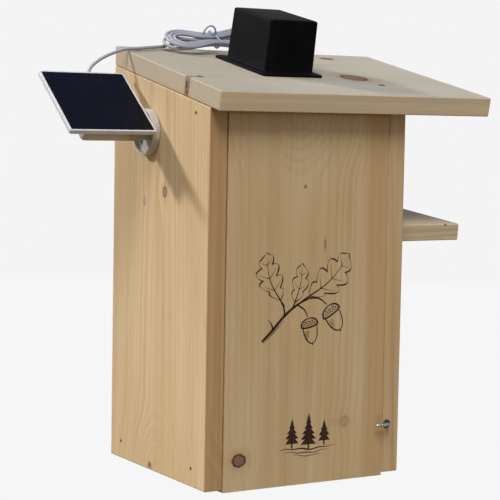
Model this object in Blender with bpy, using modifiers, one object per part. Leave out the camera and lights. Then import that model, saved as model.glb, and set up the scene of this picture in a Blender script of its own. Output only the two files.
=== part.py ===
"""Squirrel house: a timber nest box with a sloped roof, a drop-down front door held by a turning
hook, a landing shelf, a roof camera under a black cover, and a side solar panel on a swivel arm.

Metres, +Z up. The origin lies on the flat rear face that goes against the tree, on the centre line,
mount_height above the underside of the walls. -Y is the front, +X the right side seen from the front.
"""
from math import atan2, cos, pi, radians, sin, tan

import bmesh
import bpy
import numpy as np
from mathutils import Matrix, Vector

# Driving dimensions of the timber body
house_width = 0.222
house_depth = 0.200
front_height = 0.360            # underside of the walls to the underside of the roof, at the front
roof_slope = radians(12.0)      # the roof falls to the front
board = 0.019                   # every timber board but the shelf
mount_height = 0.250            # mount point above the underside of the walls
seam = 0.0003                   # gap between pieces that touch
edge_chamfer = 0.0009           # broken edges of the boards
overrun = 0.004                 # how far a cutter runs past a face

# Roof board
roof_right = 0.0905             # overhang past the right wall
roof_front = 0.0170             # overhang past the front, measured down the slope
camera_hole_radius = 0.0160

# Front door on two blind pins
door_gap = 0.0010               # each side of the door
door_pivot_drop = 0.0105        # pivot axis below the underside of the roof at the front
door_top_round = 0.0050
door_drop = 0.0027              # the door hangs lower than the walls
pin_radius = 0.0025
pin_length = 0.0260
pin_clearance = 0.0003

# Rail behind the top of the door
rail_setback = 0.0025           # clear of the door, whose top swings back a little
rail_height = 0.0240
floor_lift = 0.0080             # underside of the floor above the underside of the walls
drain_radius = 0.0040           # four holes in the floor let water out
drain_shares = (-0.62, 0.62)    # their places, of half the floor's width and of half its depth

# Entrance and landing shelf on the right wall
entrance_radius = 0.0380
entrance_from_front = 0.1000
entrance_above_shelf = 0.0105   # lowest point of the hole above the shelf
shelf_reach = 0.0870
shelf_length = 0.1400
shelf_thickness = 0.0170
shelf_from_front = 0.0220
shelf_top_height = 0.2460       # front edge of the shelf above the underside of the walls
shelf_tilt = radians(6.0)       # the rear edge is higher

# Nails and screws
nail_head_radius = 0.0015
nail_head_height = 0.0008
nail_radius = 0.0009
nail_length = 0.0400
nail_setback = 0.0275           # front nails behind the front face
rear_nail_setback = 0.0235      # rear floor nails in front of the rear face
nail_below_roof = 0.0110
screw_head_radius = 0.0036
screw_head_height = 0.0024
screw_radius = 0.0017
screw_length = 0.0450
screw_front_left = 0.0512       # up the slope from the roof's origin
screw_front_right = 0.0365
screw_rear_left = 0.1890
screw_rear_right = 0.1700
screw_left_in = 0.0140          # in from the wall's outer face
screw_right_in = 0.0080
hole_clearance = 0.0003
back_nail_shares = (-0.5, 0.5)  # places in the back board, of half the house's width
shelf_screw_shares = (-0.33, 0.33)  # places along the shelf, of its length from its middle

# Turning hook in the front edge of the right wall
hook_height = 0.0490
hook_wire = 0.0015
hook_from_joint = 0.0040        # its axis right of the joint between door and wall
hook_reach = 0.0062             # arm's centre in front of the wall
hook_arm = 0.0162
hook_depth = 0.0140
hook_bend = 0.0030
collar_radius = 0.0043
collar_height = 0.0011

# Camera cover and camera, in the roof's own frame: x, s up the slope, h off the roof
cover_left = -0.0117            # left face of the cover, from the centre line of the house
cover_front = 0.0750            # front face of the cover, from the wall's front face up the slope
cover_width = 0.0570
cover_length = 0.0780
cover_height = 0.0540
cover_draft = radians(1.1)
cover_wall = 0.0025
cover_corner = 0.0030
flange_left = 0.0084            # flange beyond the cover
flange_right = 0.0042
flange_front = 0.0124
flange_rear = 0.0100
flange_thickness = 0.0025
camera_width = 0.0460
camera_length = 0.0520
camera_height = 0.0340
camera_corner = 0.0040
lens_ring_radius = 0.0130
lens_ring_reach = 0.0060
lens_radius = 0.0095
lens_wall_gap = 0.0010
gland_height = 0.0290
gland_from_centre = 0.0158
gland_neck = 0.0030
gland_flange = 0.0046
gland_flange_height = 0.0013
gland_boot = 0.0022
plug_width = 0.0100
plug_height = 0.0060
plug_length = 0.0090

# Solar panel and its swivel
cup_from_front = 0.1210         # swivel axis behind the wall's front face
cup_below_roof = 0.0505         # swivel axis below the underside of the roof above it
cup_radius = 0.0230
cup_depth = 0.0082
cup_floor = 0.0030
cup_rim = 0.0026
rod_radius = 0.0062
rod_end = 0.0690                # from the wall
boss_radius = 0.0079
arm_screw_radius = 0.0015
arm_screw_head = 0.0032
arm_screw_head_height = 0.0013
arm_screw_length = 0.0140
cup_screw_circle = 0.0155
cup_screw_angle = radians(-34.0)
cup_screw_count = 3
cup_screw_head = 0.0028
cup_screw_head_height = 0.0016
cup_screw_radius = 0.0014
cup_screw_length = 0.0150
sleeve_radius = 0.0088
sleeve_left = 0.0745
sleeve_right = 0.0240
sleeve_round = 0.0045
grip_radius = 0.0088
grip_left = 0.0236
grip_right = 0.0105
grip_count = 12
grip_slot = 0.0022
grip_slot_depth = 0.0013
panel_tilt = radians(37.0)
panel_centre_x = 0.0545         # from the wall
panel_centre_up = 0.0219        # up the panel's slope from the swivel axis
panel_top = 0.0208              # front face of the panel off the swivel axis
panel_width = 0.0915
panel_length = 0.0950
panel_thickness = 0.0046
panel_rim = 0.0019
panel_recess = 0.0010
panel_corner = 0.0022
cell_sink = 0.0002              # face of the cell below the rim
back_box_width = 0.0505
back_box_length = 0.0560
back_box_thickness = 0.0080
back_box_front = 0.0100         # below the swivel axis, down the panel's slope
lead_from_centre = 0.0105       # lead's exit right of the panel's centre
lead_below_panel = 0.0037       # lead's axis under the panel's back
boot_length = 0.0080

# Lead from the panel to the cover, with its spare length in a tied hank
lead = 0.0034
loop_points = 24
layer_turns = 2
upper_turns = 3
hank_start = 0.125              # turns at which the lead joins the hank, at its waist
hank_end = 4.20
run_share = 0.25                # of a turn, for each straight run and each fold
fold_radius = 0.0102
turn_step = 0.0043
layer_step = 0.0043
waist_gap = 0.0015              # innermost strands' distance from the hank's centre line at the tie
hank_half_run = 0.0415
hank_nest = 0.0090              # the upper layer's left folds stop short of the lower ones
hank_centre_x = -0.0088         # tie, from the centre line of the house
hank_centre_s = 0.1920          # up the slope from the wall's front face
hank_lift = 0.0018              # the lead's stiffness holds the lowest strand off the roof
hank_roll = radians(15.0)       # the rear strands are higher
hank_pitch = radians(3.0)       # the right end is higher
tie_wire = 0.0009
tie_clearance = 0.0005
tie_arch = 0.0095
tie_arch_width = 0.0145
tie_right = 0.0035              # from the hank's middle

# Derived places
half_width = house_width / 2
base_z = -mount_height
front_y = -house_depth
rise = tan(roof_slope)
inner_half = half_width - board
under_roof = base_z + front_height        # underside of the roof above the front face

house = bpy.data.collections.new("squirrel_house")
cutters = bpy.data.collections.new("cutters")


def start_scene():
    """Clear the scene and link the two collections."""
    for item in list(bpy.data.objects):
        bpy.data.objects.remove(item, do_unlink=True)
    bpy.context.scene.collection.children.link(house)
    bpy.context.scene.collection.children.link(cutters)


def material(name, colour, roughness, metallic=0.0):
    """Plain finish with one colour."""
    finish = bpy.data.materials.new(name)
    finish.use_nodes = True
    shader = finish.node_tree.nodes["Principled BSDF"]
    shader.inputs["Base Color"].default_value = (*colour, 1.0)
    shader.inputs["Roughness"].default_value = roughness
    shader.inputs["Metallic"].default_value = metallic
    return finish


def add(name, mesh, finish=None, parent=None, group=None):
    """Put a mesh in the scene as a named piece, or as a cutter where it has no finish."""
    piece = bpy.data.objects.new(name, mesh)
    (group or (house if finish else cutters)).objects.link(piece)
    if parent:
        piece.parent = parent
    if finish:
        mesh.materials.clear()
        mesh.materials.append(finish)
    else:
        piece.hide_render = True
        piece.display_type = "WIRE"
    return piece


def empty(name, place, turn_x=0.0):
    """Frame of a group of pieces, turned about X."""
    frame = bpy.data.objects.new(name, None)
    house.objects.link(frame)
    frame.location = place
    frame.rotation_euler = (turn_x, 0.0, 0.0)
    return frame


def tidy_mesh(mesh):
    """Weld a mesh, join its flat faces and point them outwards."""
    work = bmesh.new()
    work.from_mesh(mesh)
    bmesh.ops.remove_doubles(work, verts=work.verts, dist=seam / 30)
    bmesh.ops.dissolve_limit(work, angle_limit=radians(0.5), verts=work.verts, edges=work.edges)
    bmesh.ops.recalc_face_normals(work, faces=work.faces)
    work.to_mesh(mesh)
    work.free()
    return mesh


def baked(guide, tidy=True):
    """Evaluated mesh of a curve or of a piece with modifiers; the guide is removed."""
    bpy.context.view_layer.update()
    mesh = bpy.data.meshes.new_from_object(guide.evaluated_get(bpy.context.evaluated_depsgraph_get()))
    bpy.data.objects.remove(guide, do_unlink=True)
    return tidy_mesh(mesh) if tidy else mesh


def outline_mesh(name, outline, thickness):
    """Solid between two copies of a closed outline in XY, half its thickness each side of Z = 0."""
    curve = bpy.data.curves.new(name, "CURVE")
    curve.dimensions = "2D"
    curve.fill_mode = "BOTH"
    curve.extrude = thickness / 2
    spline = curve.splines.new("POLY")
    spline.points.add(len(outline) - 1)
    for point, (u, v) in zip(spline.points, outline):
        point.co = (u, v, 0.0, 1.0)
    spline.use_cyclic_u = True
    guide = bpy.data.objects.new(name, curve)
    cutters.objects.link(guide)
    return baked(guide)


def along_x(name, outline, low, high):
    """Board with an outline in Y and Z, from x = low to x = high."""
    mesh = outline_mesh(name, outline, high - low)
    turn = Matrix(((0, 0, 1, 0), (1, 0, 0, 0), (0, 1, 0, 0), (0, 0, 0, 1)))
    mesh.transform(Matrix.Translation(((low + high) / 2, 0.0, 0.0)) @ turn)
    return mesh


def along_z(name, outline, low, high):
    """Plate with an outline in X and Y, from z = low to z = high."""
    mesh = outline_mesh(name, outline, high - low)
    mesh.transform(Matrix.Translation((0.0, 0.0, (low + high) / 2)))
    return mesh


def rounded(centre_u, centre_v, width, height, radius, steps=4):
    """Outline of a rectangle with round corners."""
    points = []
    for quarter in range(4):
        start = quarter * pi / 2
        side_u = 1 if quarter in (0, 3) else -1
        side_v = 1 if quarter in (0, 1) else -1
        for step in range(steps + 1):
            angle = start + step * pi / 2 / steps
            points.append((centre_u + side_u * (width / 2 - radius) + radius * cos(angle),
                           centre_v + side_v * (height / 2 - radius) + radius * sin(angle)))
    return points


def round_bar(radius, low, high, sides=24):
    """Cylinder about Z from low to high."""
    mesh = bpy.data.meshes.new("bar")
    work = bmesh.new()
    middle = Matrix.Translation((0.0, 0.0, (low + high) / 2))
    bmesh.ops.create_cone(work, cap_ends=True, segments=sides, radius1=radius, radius2=radius,
                          depth=high - low, matrix=middle)
    work.to_mesh(mesh)
    work.free()
    return mesh


def block(width, length, height, centre, taper=0.0, radius=0.0):
    """Box about its centre, whose top is smaller by taper on every side; radius rounds all but its base."""
    mesh = bpy.data.meshes.new("block")
    work = bmesh.new()
    bmesh.ops.create_cube(work, size=1.0)
    raised = [edge for edge in work.edges if max(corner.co.z for corner in edge.verts) > 0]
    for corner in work.verts:
        top = corner.co.z > 0
        corner.co.x *= width - (2 * taper if top else 0.0)
        corner.co.y *= length - (2 * taper if top else 0.0)
        corner.co.z *= height
    if radius:
        bmesh.ops.bevel(work, geom=raised, offset=radius, segments=3, profile=0.5, affect="EDGES")
    bmesh.ops.translate(work, verts=work.verts, vec=centre)
    work.to_mesh(mesh)
    work.free()
    return mesh


def turned(profile, steps=16):
    """Solid of revolution about Z; the profile runs down the outer side from top to bottom."""
    mesh = bpy.data.meshes.new("profile")
    points = [(radius, 0.0, height) for radius, height in profile]
    mesh.from_pydata(points, [(k, k + 1) for k in range(len(points) - 1)], [])
    guide = bpy.data.objects.new("turned", mesh)
    cutters.objects.link(guide)
    screw = guide.modifiers.new("turn", "SCREW")
    screw.steps = steps
    screw.render_steps = steps
    screw.use_merge_vertices = True
    screw.merge_threshold = seam / 30
    screw.use_smooth_shade = False
    return baked(guide)


def tube(points, radius, resolution=2, closed=False):
    """Tube with filled caps along points."""
    curve = bpy.data.curves.new("tube", "CURVE")
    curve.dimensions = "3D"
    curve.bevel_depth = radius
    curve.bevel_resolution = resolution
    curve.use_fill_caps = True
    spline = curve.splines.new("POLY")
    spline.points.add(len(points) - 1)
    for point, place in zip(spline.points, points):
        point.co = (*place, 1.0)
    spline.use_cyclic_u = closed
    guide = bpy.data.objects.new("tube", curve)
    cutters.objects.link(guide)
    bpy.context.view_layer.update()
    mesh = bpy.data.meshes.new_from_object(guide.evaluated_get(bpy.context.evaluated_depsgraph_get()))
    bpy.data.objects.remove(guide, do_unlink=True)
    work = bmesh.new()
    work.from_mesh(mesh)
    bmesh.ops.remove_doubles(work, verts=work.verts, dist=seam / 30)
    bmesh.ops.recalc_face_normals(work, faces=work.faces)
    work.to_mesh(mesh)
    work.free()
    return mesh


def smooth_path(route, spacing):
    """Even points on a Catmull-Rom curve through a route, whose first and last stretches stay straight."""
    knots = np.array([tuple(point) for point in route], float)
    dense = []
    for k in range(1, len(knots) - 2):
        a, b, c, d = knots[k - 1:k + 3]
        t = np.linspace(0.0, 1.0, 24, endpoint=False)[:, None]
        dense.append(0.5 * (2 * b + (c - a) * t + (2 * a - 5 * b + 4 * c - d) * t ** 2
                            + (3 * b - a - 3 * c + d) * t ** 3))
    dense = np.vstack(dense + [knots[-2:-1]])
    run = np.concatenate([[0.0], np.cumsum(np.linalg.norm(np.diff(dense, axis=0), axis=1))])
    even = np.linspace(0.0, run[-1], round(run[-1] / spacing) + 1)
    middle = np.column_stack([np.interp(even, run, dense[:, axis]) for axis in range(3)])
    return np.vstack([knots[:1], middle, knots[-1:]])


def toward(direction, place):
    """Matrix that stands a turned piece's Z along a direction at a place."""
    turn = Vector(direction).to_track_quat("Z", "Y").to_matrix().to_4x4()
    return Matrix.Translation(place) @ turn


def copies(unit, matrices):
    """One mesh with a copy of the unit at each matrix."""
    mesh = bpy.data.meshes.new("copies")
    work = bmesh.new()
    for matrix in matrices:
        single = unit.copy()
        single.transform(matrix)
        work.from_mesh(single)
        bpy.data.meshes.remove(single)
    work.to_mesh(mesh)
    work.free()
    return mesh


def fastener(head_radius, head_height, shank_radius, length, steps=12):
    """Flat-headed nail or screw with a point, its head's face at Z = 0."""
    return turned([(0.0, 0.0), (head_radius, 0.0), (head_radius, -head_height), (shank_radius, -head_height),
                   (shank_radius, -length + 2 * shank_radius), (0.0, -length)], steps)


def fastener_hole(head_radius, head_height, shank_radius, length, steps=12):
    """Hole for the same fastener, larger by the clearance all round."""
    free = hole_clearance
    return turned([(0.0, overrun), (head_radius + free, overrun), (head_radius + free, -head_height - free),
                   (shank_radius + free, -head_height - free), (shank_radius + free, -length - free),
                   (0.0, -length - free)], steps)


def fasten(name, mesh, places, colour, roughness=0.42):
    """The same nail or screw at each place, every one its own piece."""
    steel = material(name + "_steel", colour, roughness, 1.0)
    for number, place in enumerate(places):
        piece = add(f"{name}_{number + 1}", mesh, steel)
        piece.matrix_world = place


def join(piece, tool, operation="DIFFERENCE"):
    """Cut or join a piece with a tool by an exact Boolean."""
    change = piece.modifiers.new(tool.name, "BOOLEAN")
    change.operation = operation
    change.object = tool
    change.solver = "EXACT"


def chamfer(piece, width=edge_chamfer, segments=1, angle=radians(30.0)):
    """Break or round the edges of a piece."""
    bevel = piece.modifiers.new("edges", "BEVEL")
    bevel.width = width
    bevel.segments = segments
    bevel.limit_method = "ANGLE"
    bevel.angle_limit = angle
    bevel.harden_normals = False


def soften(piece, angle=radians(35.0)):
    """Smooth shading on a round piece."""
    piece.data.shade_smooth()
    piece.data.set_sharp_from_angle(angle=angle)


def roof_line(y):
    """Height of the roof's underside above a depth."""
    return under_roof + (y - front_y) * rise


def timber(name, colour):
    """Bare softwood."""
    return material(name, colour, 0.62)


def build_walls():
    """Two side walls with sloped tops, and the board that closes the back between them."""
    top_front = roof_line(front_y) - seam
    top_rear = roof_line(0.0) - seam
    side = [(front_y, base_z), (0.0, base_z), (0.0, top_rear), (front_y, top_front)]
    left = add("side_left", along_x("side_left", side, -half_width, -inner_half),
               timber("pine_left", (0.74, 0.56, 0.36)))
    right = add("side_right", along_x("side_right", side, inner_half, half_width),
                timber("pine_right", (0.72, 0.54, 0.34)))
    back_front = roof_line(-board) - seam
    back = [(-board, base_z), (0.0, base_z), (0.0, top_rear), (-board, back_front)]
    rear = add("back_board", along_x("back_board", back, -inner_half + seam, inner_half - seam),
               timber("pine_back", (0.70, 0.52, 0.33)))
    for wall in (left, right, rear):
        chamfer(wall)
    return left, right, rear


def build_floor():
    """Floor between the walls, with drain holes."""
    half = inner_half - seam
    front = front_y + board + door_gap
    rear = -board - seam
    low = base_z + floor_lift
    outline = [(-half, front), (half, front), (half, rear), (-half, rear)]
    floor = add("floor_board", along_z("floor_board", outline, low, low + board),
                timber("pine_floor", (0.70, 0.53, 0.34)))
    drain = round_bar(drain_radius, low - overrun, low + board + overrun, 16)
    places = [Matrix.Translation((share_x * half, (front + rear) / 2 + share_y * (rear - front) / 2, 0.0))
              for share_x in drain_shares for share_y in drain_shares]
    join(floor, add("drain_holes", copies(drain, places)))
    return floor


def build_rail():
    """Rail between the walls behind the top of the door, its top cut to the roof's slope."""
    front = front_y + board + rail_setback
    rear = front + board
    low = roof_line(front) - seam - rail_height
    outline = [(front, low), (rear, low), (rear, roof_line(rear) - seam), (front, roof_line(front) - seam)]
    rail = add("top_rail", along_x("top_rail", outline, -inner_half + seam, inner_half - seam),
               timber("pine_rail", (0.70, 0.53, 0.34)))
    return rail


def build_roof():
    """Sloped roof board with a plumb rear edge and a hole for the camera's lens."""
    run_front = roof_front * cos(roof_slope)
    drop_front = roof_front * sin(roof_slope)
    lean = board * sin(roof_slope)
    stand = board * cos(roof_slope)
    low_front = (front_y - run_front, under_roof - drop_front)
    high_front = (front_y - run_front - lean, under_roof - drop_front + stand)
    rear_low = (0.0, roof_line(0.0))
    rear_high = (0.0, roof_line(0.0) + board / cos(roof_slope))
    roof = add("roof_board", along_x("roof_board", [low_front, rear_low, rear_high, high_front],
                                     -half_width, half_width + roof_right), timber("pine_roof", (0.66, 0.58, 0.44)))
    chamfer(roof)
    return roof


def build_door():
    """Front door that hangs from two blind pins; its top corners are round, so that it can swing."""
    empty_axis = empty("door_axis", (0.0, front_y + board / 2, under_roof - door_pivot_drop))
    half = board / 2
    top = half
    bottom = base_z - door_drop - empty_axis.location.z
    round_off = door_top_round
    outline = [(-half, bottom), (half, bottom)]
    for step in range(5):
        angle = step * pi / 2 / 4
        outline.append((half - round_off + round_off * cos(angle), top - round_off + round_off * sin(angle)))
    for step in range(5):
        angle = pi / 2 + step * pi / 2 / 4
        outline.append((-half + round_off + round_off * cos(angle), top - round_off + round_off * sin(angle)))
    width = inner_half - door_gap
    door = add("front_door", along_x("front_door", outline, -width, width), timber("pine_door", (0.62, 0.45, 0.27)),
               parent=empty_axis)
    across = Matrix.Rotation(pi / 2, 4, "Y")
    sides = {"left": -inner_half, "right": inner_half}
    for side, place in sides.items():
        mesh = round_bar(pin_radius, -pin_length / 2, pin_length / 2, 16)
        mesh.transform(across)
        pin = add(f"door_pin_{side}", mesh, material(f"pin_steel_{side}", (0.55, 0.55, 0.55), 0.35, 1.0))
        pin.location = empty_axis.location + Vector((place, 0.0, 0.0))
    bore = round_bar(pin_radius + pin_clearance, -pin_length / 2 - seam, pin_length / 2 + seam, 16)
    places = [Matrix.Translation((place, 0.0, 0.0)) @ across for place in sides.values()]
    bores = add("pin_bores", copies(bore, places))
    bores.location = empty_axis.location
    return door, bores


def build_shelf():
    """Landing shelf on the right wall, a little higher at its rear edge."""
    front = front_y + shelf_from_front
    top = base_z + shelf_top_height
    along = (cos(shelf_tilt), sin(shelf_tilt))
    down = (sin(shelf_tilt), -cos(shelf_tilt))
    far = (front + shelf_length * along[0], top + shelf_length * along[1])
    outline = [(front, top), (front + shelf_thickness * down[0], top + shelf_thickness * down[1]),
               (far[0] + shelf_thickness * down[0], far[1] + shelf_thickness * down[1]), far]
    low = half_width + seam
    shelf = add("landing_shelf", along_x("landing_shelf", outline, low, low + shelf_reach),
                timber("pine_shelf", (0.68, 0.50, 0.32)))
    chamfer(shelf)
    return shelf


def shelf_top_at(y):
    """Height of the shelf's top face at a depth."""
    return base_z + shelf_top_height + (y - front_y - shelf_from_front) * tan(shelf_tilt)


def cut_entrance(wall):
    """Round entrance through the right wall, just above the shelf."""
    centre_y = front_y + entrance_from_front
    centre_z = shelf_top_at(centre_y) + entrance_above_shelf + entrance_radius
    hole = round_bar(entrance_radius, inner_half - overrun, half_width + overrun, 32)
    hole.transform(Matrix.Translation((0.0, centre_y, centre_z)) @ Matrix.Rotation(pi / 2, 4, "Y"))
    join(wall, add("entrance_hole", hole))


def build_fasteners(left, right, rear, floor, rail, roof, shelf):
    """Nails through the walls and the back, screws through the roof and into the shelf, with their holes."""
    floor_middle = base_z + floor_lift + board / 2
    front_nail = front_y + nail_setback
    rail_nail = roof_line(front_nail) - nail_below_roof
    side_places = []
    for side in (-1, 1):
        for y, z in ((front_nail, floor_middle), (-rear_nail_setback, floor_middle), (front_nail, rail_nail)):
            side_places.append(toward((side, 0.0, 0.0), (side * half_width, y, z)))
    back_places = [toward((0.0, 1.0, 0.0), (share * half_width, 0.0, floor_middle)) for share in back_nail_shares]
    nail_sizes = (nail_head_radius, nail_head_height, nail_radius, nail_length)
    fasten("side_nail", fastener(*nail_sizes), side_places, (0.32, 0.29, 0.26))
    fasten("back_nail", fastener(*nail_sizes), back_places, (0.32, 0.29, 0.26))
    nail_holes = add("nail_holes", copies(fastener_hole(*nail_sizes), side_places + back_places))
    for piece in (left, right, rear, floor, rail):
        join(piece, nail_holes)

    screw_sizes = (screw_head_radius, screw_head_height, screw_radius, screw_length)
    normal = Vector((0.0, -sin(roof_slope), cos(roof_slope)))
    up_slope = Vector((0.0, cos(roof_slope), sin(roof_slope)))
    origin = Vector((0.0, front_y, under_roof)) + board * normal
    roof_places = []
    for side, inward, front, back in ((-1, screw_left_in, screw_front_left, screw_rear_left),
                                      (1, screw_right_in, screw_front_right, screw_rear_right)):
        for along in (front, back):
            place = origin + along * up_slope + Vector((side * (half_width - inward), 0.0, 0.0))
            roof_places.append(toward(normal, place))
    fasten("roof_screw", fastener(*screw_sizes), roof_places, (0.30, 0.28, 0.27))
    roof_holes = add("roof_screw_holes", copies(fastener_hole(*screw_sizes), roof_places))
    for piece in (left, right, roof):
        join(piece, roof_holes)

    centre = front_y + shelf_from_front + shelf_length / 2
    shelf_places = []
    for share in shelf_screw_shares:
        y = centre + share * shelf_length
        z = shelf_top_at(y) - shelf_thickness / 2 / cos(shelf_tilt)
        shelf_places.append(toward((-1.0, 0.0, 0.0), (inner_half, y, z)))
    fasten("shelf_screw", fastener(*screw_sizes), shelf_places, (0.30, 0.28, 0.27))
    shelf_holes = add("shelf_screw_holes", copies(fastener_hole(*screw_sizes), shelf_places))
    for piece in (right, shelf):
        join(piece, shelf_holes)


def build_hook(wall):
    """Turning hook: a wire screwed into the wall's front edge, bent over the door, with a collar."""
    axis = empty("hook_axis", (inner_half + hook_from_joint, front_y, base_z + hook_height))
    points = [(0.0, hook_depth, 0.0), (0.0, -hook_reach + hook_bend, 0.0)]
    for step in range(1, 7):
        angle = step * pi / 2 / 6
        points.append((-hook_bend + hook_bend * cos(angle), -hook_reach + hook_bend - hook_bend * sin(angle), 0.0))
    points.append((-hook_arm, -hook_reach, 0.0))
    hook = add("door_hook", tube(points, hook_wire, 3), material("zinc", (0.62, 0.63, 0.62), 0.3, 1.0), parent=axis)
    collar = turned([(0.0, collar_height), (collar_radius - collar_height / 2, collar_height),
                     (collar_radius, collar_height / 3), (collar_radius, 0.0), (0.0, 0.0)], 20)
    collar.transform(toward((0.0, -1.0, 0.0), (0.0, -seam, 0.0)))
    join(hook, add("hook_collar", collar, parent=axis), "UNION")
    bore = round_bar(hook_wire + hole_clearance, -overrun, hook_depth + seam, 12)
    bore.transform(toward((0.0, 1.0, 0.0), (0.0, 0.0, 0.0)))
    join(wall, add("hook_bore", bore, parent=axis))
    return hook


def roof_frame():
    """Frame on the roof's top face: X right, Y up the slope from the wall's front, Z off the roof."""
    lift = (0.0, front_y - board * sin(roof_slope), under_roof + board * cos(roof_slope))
    return empty("roof_axes", lift, roof_slope)


def build_cover(frame, roof):
    """Black flanged cover, open underneath, with the camera and the lead's gland."""
    centre_x = cover_left + cover_width / 2
    centre_s = cover_front + cover_length / 2
    taper = cover_height * tan(cover_draft)
    outer = block(cover_width, cover_length, cover_height, (centre_x, centre_s, cover_height / 2), taper, cover_corner)
    black = material("cover_plastic", (0.012, 0.012, 0.014), 0.42)
    cover = add("camera_cover", outer, black, parent=frame)
    cover.location.z = seam
    outline = rounded(centre_x + (flange_right - flange_left) / 2, centre_s + (flange_rear - flange_front) / 2,
                      cover_width + flange_left + flange_right, cover_length + flange_front + flange_rear,
                      cover_corner)
    plate = add("cover_flange", along_z("flange", outline, 0.0, flange_thickness), parent=frame)
    plate.location.z = seam
    join(cover, plate, "UNION")
    depth = cover_height - cover_wall + overrun
    hollow = block(cover_width - 2 * cover_wall, cover_length - 2 * cover_wall, depth,
                   (centre_x, centre_s, depth / 2 - overrun), taper)
    inside = add("cover_hollow", hollow, parent=frame)
    inside.location.z = seam
    join(cover, inside)

    lens_s = cover_front + cover_wall + camera_length / 2 + flange_thickness
    body = along_z("camera", rounded(centre_x, lens_s, camera_width, camera_length, camera_corner),
                   2 * seam, camera_height)
    camera = add("camera_body", body, material("camera_shell", (0.78, 0.78, 0.77), 0.35), parent=frame)
    chamfer(camera, camera_corner / 3, 2, radians(60.0))
    hole = round_bar(camera_hole_radius, -board - overrun, overrun, 32)
    hole.transform(Matrix.Translation((centre_x, lens_s, 0.0)))
    join(roof, add("camera_hole", hole, parent=frame))

    ring = turned([(lens_radius + lens_wall_gap, seam), (lens_ring_radius, seam),
                   (lens_ring_radius, -lens_ring_reach), (lens_radius + lens_wall_gap, -lens_ring_reach),
                   (lens_radius + lens_wall_gap, seam)], 28)
    ring.transform(Matrix.Translation((centre_x, lens_s, 0.0)))
    soften(add("camera_ring", ring, material("ring_plastic", (0.02, 0.02, 0.02), 0.3), parent=frame))
    dome = [(0.0, seam), (lens_radius, seam), (lens_radius, -lens_ring_reach / 2)]
    for step in range(1, 6):
        angle = step * pi / 2 / 5
        dome.append((lens_radius * cos(angle), -lens_ring_reach / 2 - lens_ring_reach / 3 * sin(angle)))
    glass = turned(dome, 24)
    glass.transform(Matrix.Translation((centre_x, lens_s, 0.0)))
    soften(add("camera_lens", glass, material("lens_glass", (0.03, 0.03, 0.05), 0.05), parent=frame))
    return cover, centre_x, lens_s


def gland_place(centre_x):
    """Outer face of the cover's rear wall at the gland's height, in the roof's frame."""
    s = cover_front + cover_length - gland_height * tan(cover_draft)
    return Vector((centre_x + gland_from_centre, s, gland_height))


def build_gland(frame, cover, centre_x, lens_s):
    """Rubber gland in the cover's rear wall, the short lead inside it and the plug in the camera."""
    place = gland_place(centre_x)
    wall = cover_wall
    free = hole_clearance
    profile = [(0.0, gland_boot), (lead / 2 + free, gland_boot), (gland_neck, gland_flange_height + free),
               (gland_flange, gland_flange_height + free), (gland_flange, free), (gland_neck, free),
               (gland_neck, -wall - free), (gland_flange, -wall - free),
               (gland_flange, -wall - free - gland_flange_height), (0.0, -wall - free - gland_flange_height)]
    gland = turned(profile, 16)
    gland.transform(toward((0.0, 1.0, 0.0), place))
    soften(add("lead_gland", gland, material("gland_rubber", (0.03, 0.03, 0.03), 0.7), parent=frame))
    bore = round_bar(gland_neck + free, -wall - overrun, overrun, 16)
    bore.transform(toward((0.0, 1.0, 0.0), place))
    join(cover, add("gland_bore", bore, parent=frame))

    rear_face = lens_s + camera_length / 2
    plug_middle = (place.x, rear_face + seam + plug_length / 2, place.z)
    plug_piece = add("camera_plug", block(plug_width, plug_length, plug_height, plug_middle),
                     material("plug_plastic", (0.85, 0.85, 0.86), 0.45), parent=frame)
    chamfer(plug_piece, plug_height / 8, 2)
    start = (place.x, rear_face + 2 * seam + plug_length, place.z)
    end = (place.x, place.y - wall - 2 * free - gland_flange_height, place.z)
    add("inner_lead", tube([start, end], lead / 2, 2), lead_finish("inner_lead_plastic"), parent=frame)
    return place


def cup_place():
    """Depth and height of the swivel's axis on the left wall."""
    axis_y = front_y + cup_from_front
    return axis_y, roof_line(axis_y) - cup_below_roof


def panel_frame():
    """Frame on the swivel's axis: X right, Y up the panel's slope, Z off the panel."""
    return empty("panel_axis", (-half_width, *cup_place()), panel_tilt)


def outward(mesh, axis_y, axis_z):
    """Turn a mesh made about Z so that it stands out of the left wall."""
    mesh.transform(Matrix.Translation((-half_width, axis_y, axis_z)) @ Matrix.Rotation(-pi / 2, 4, "Y"))
    return mesh


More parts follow.
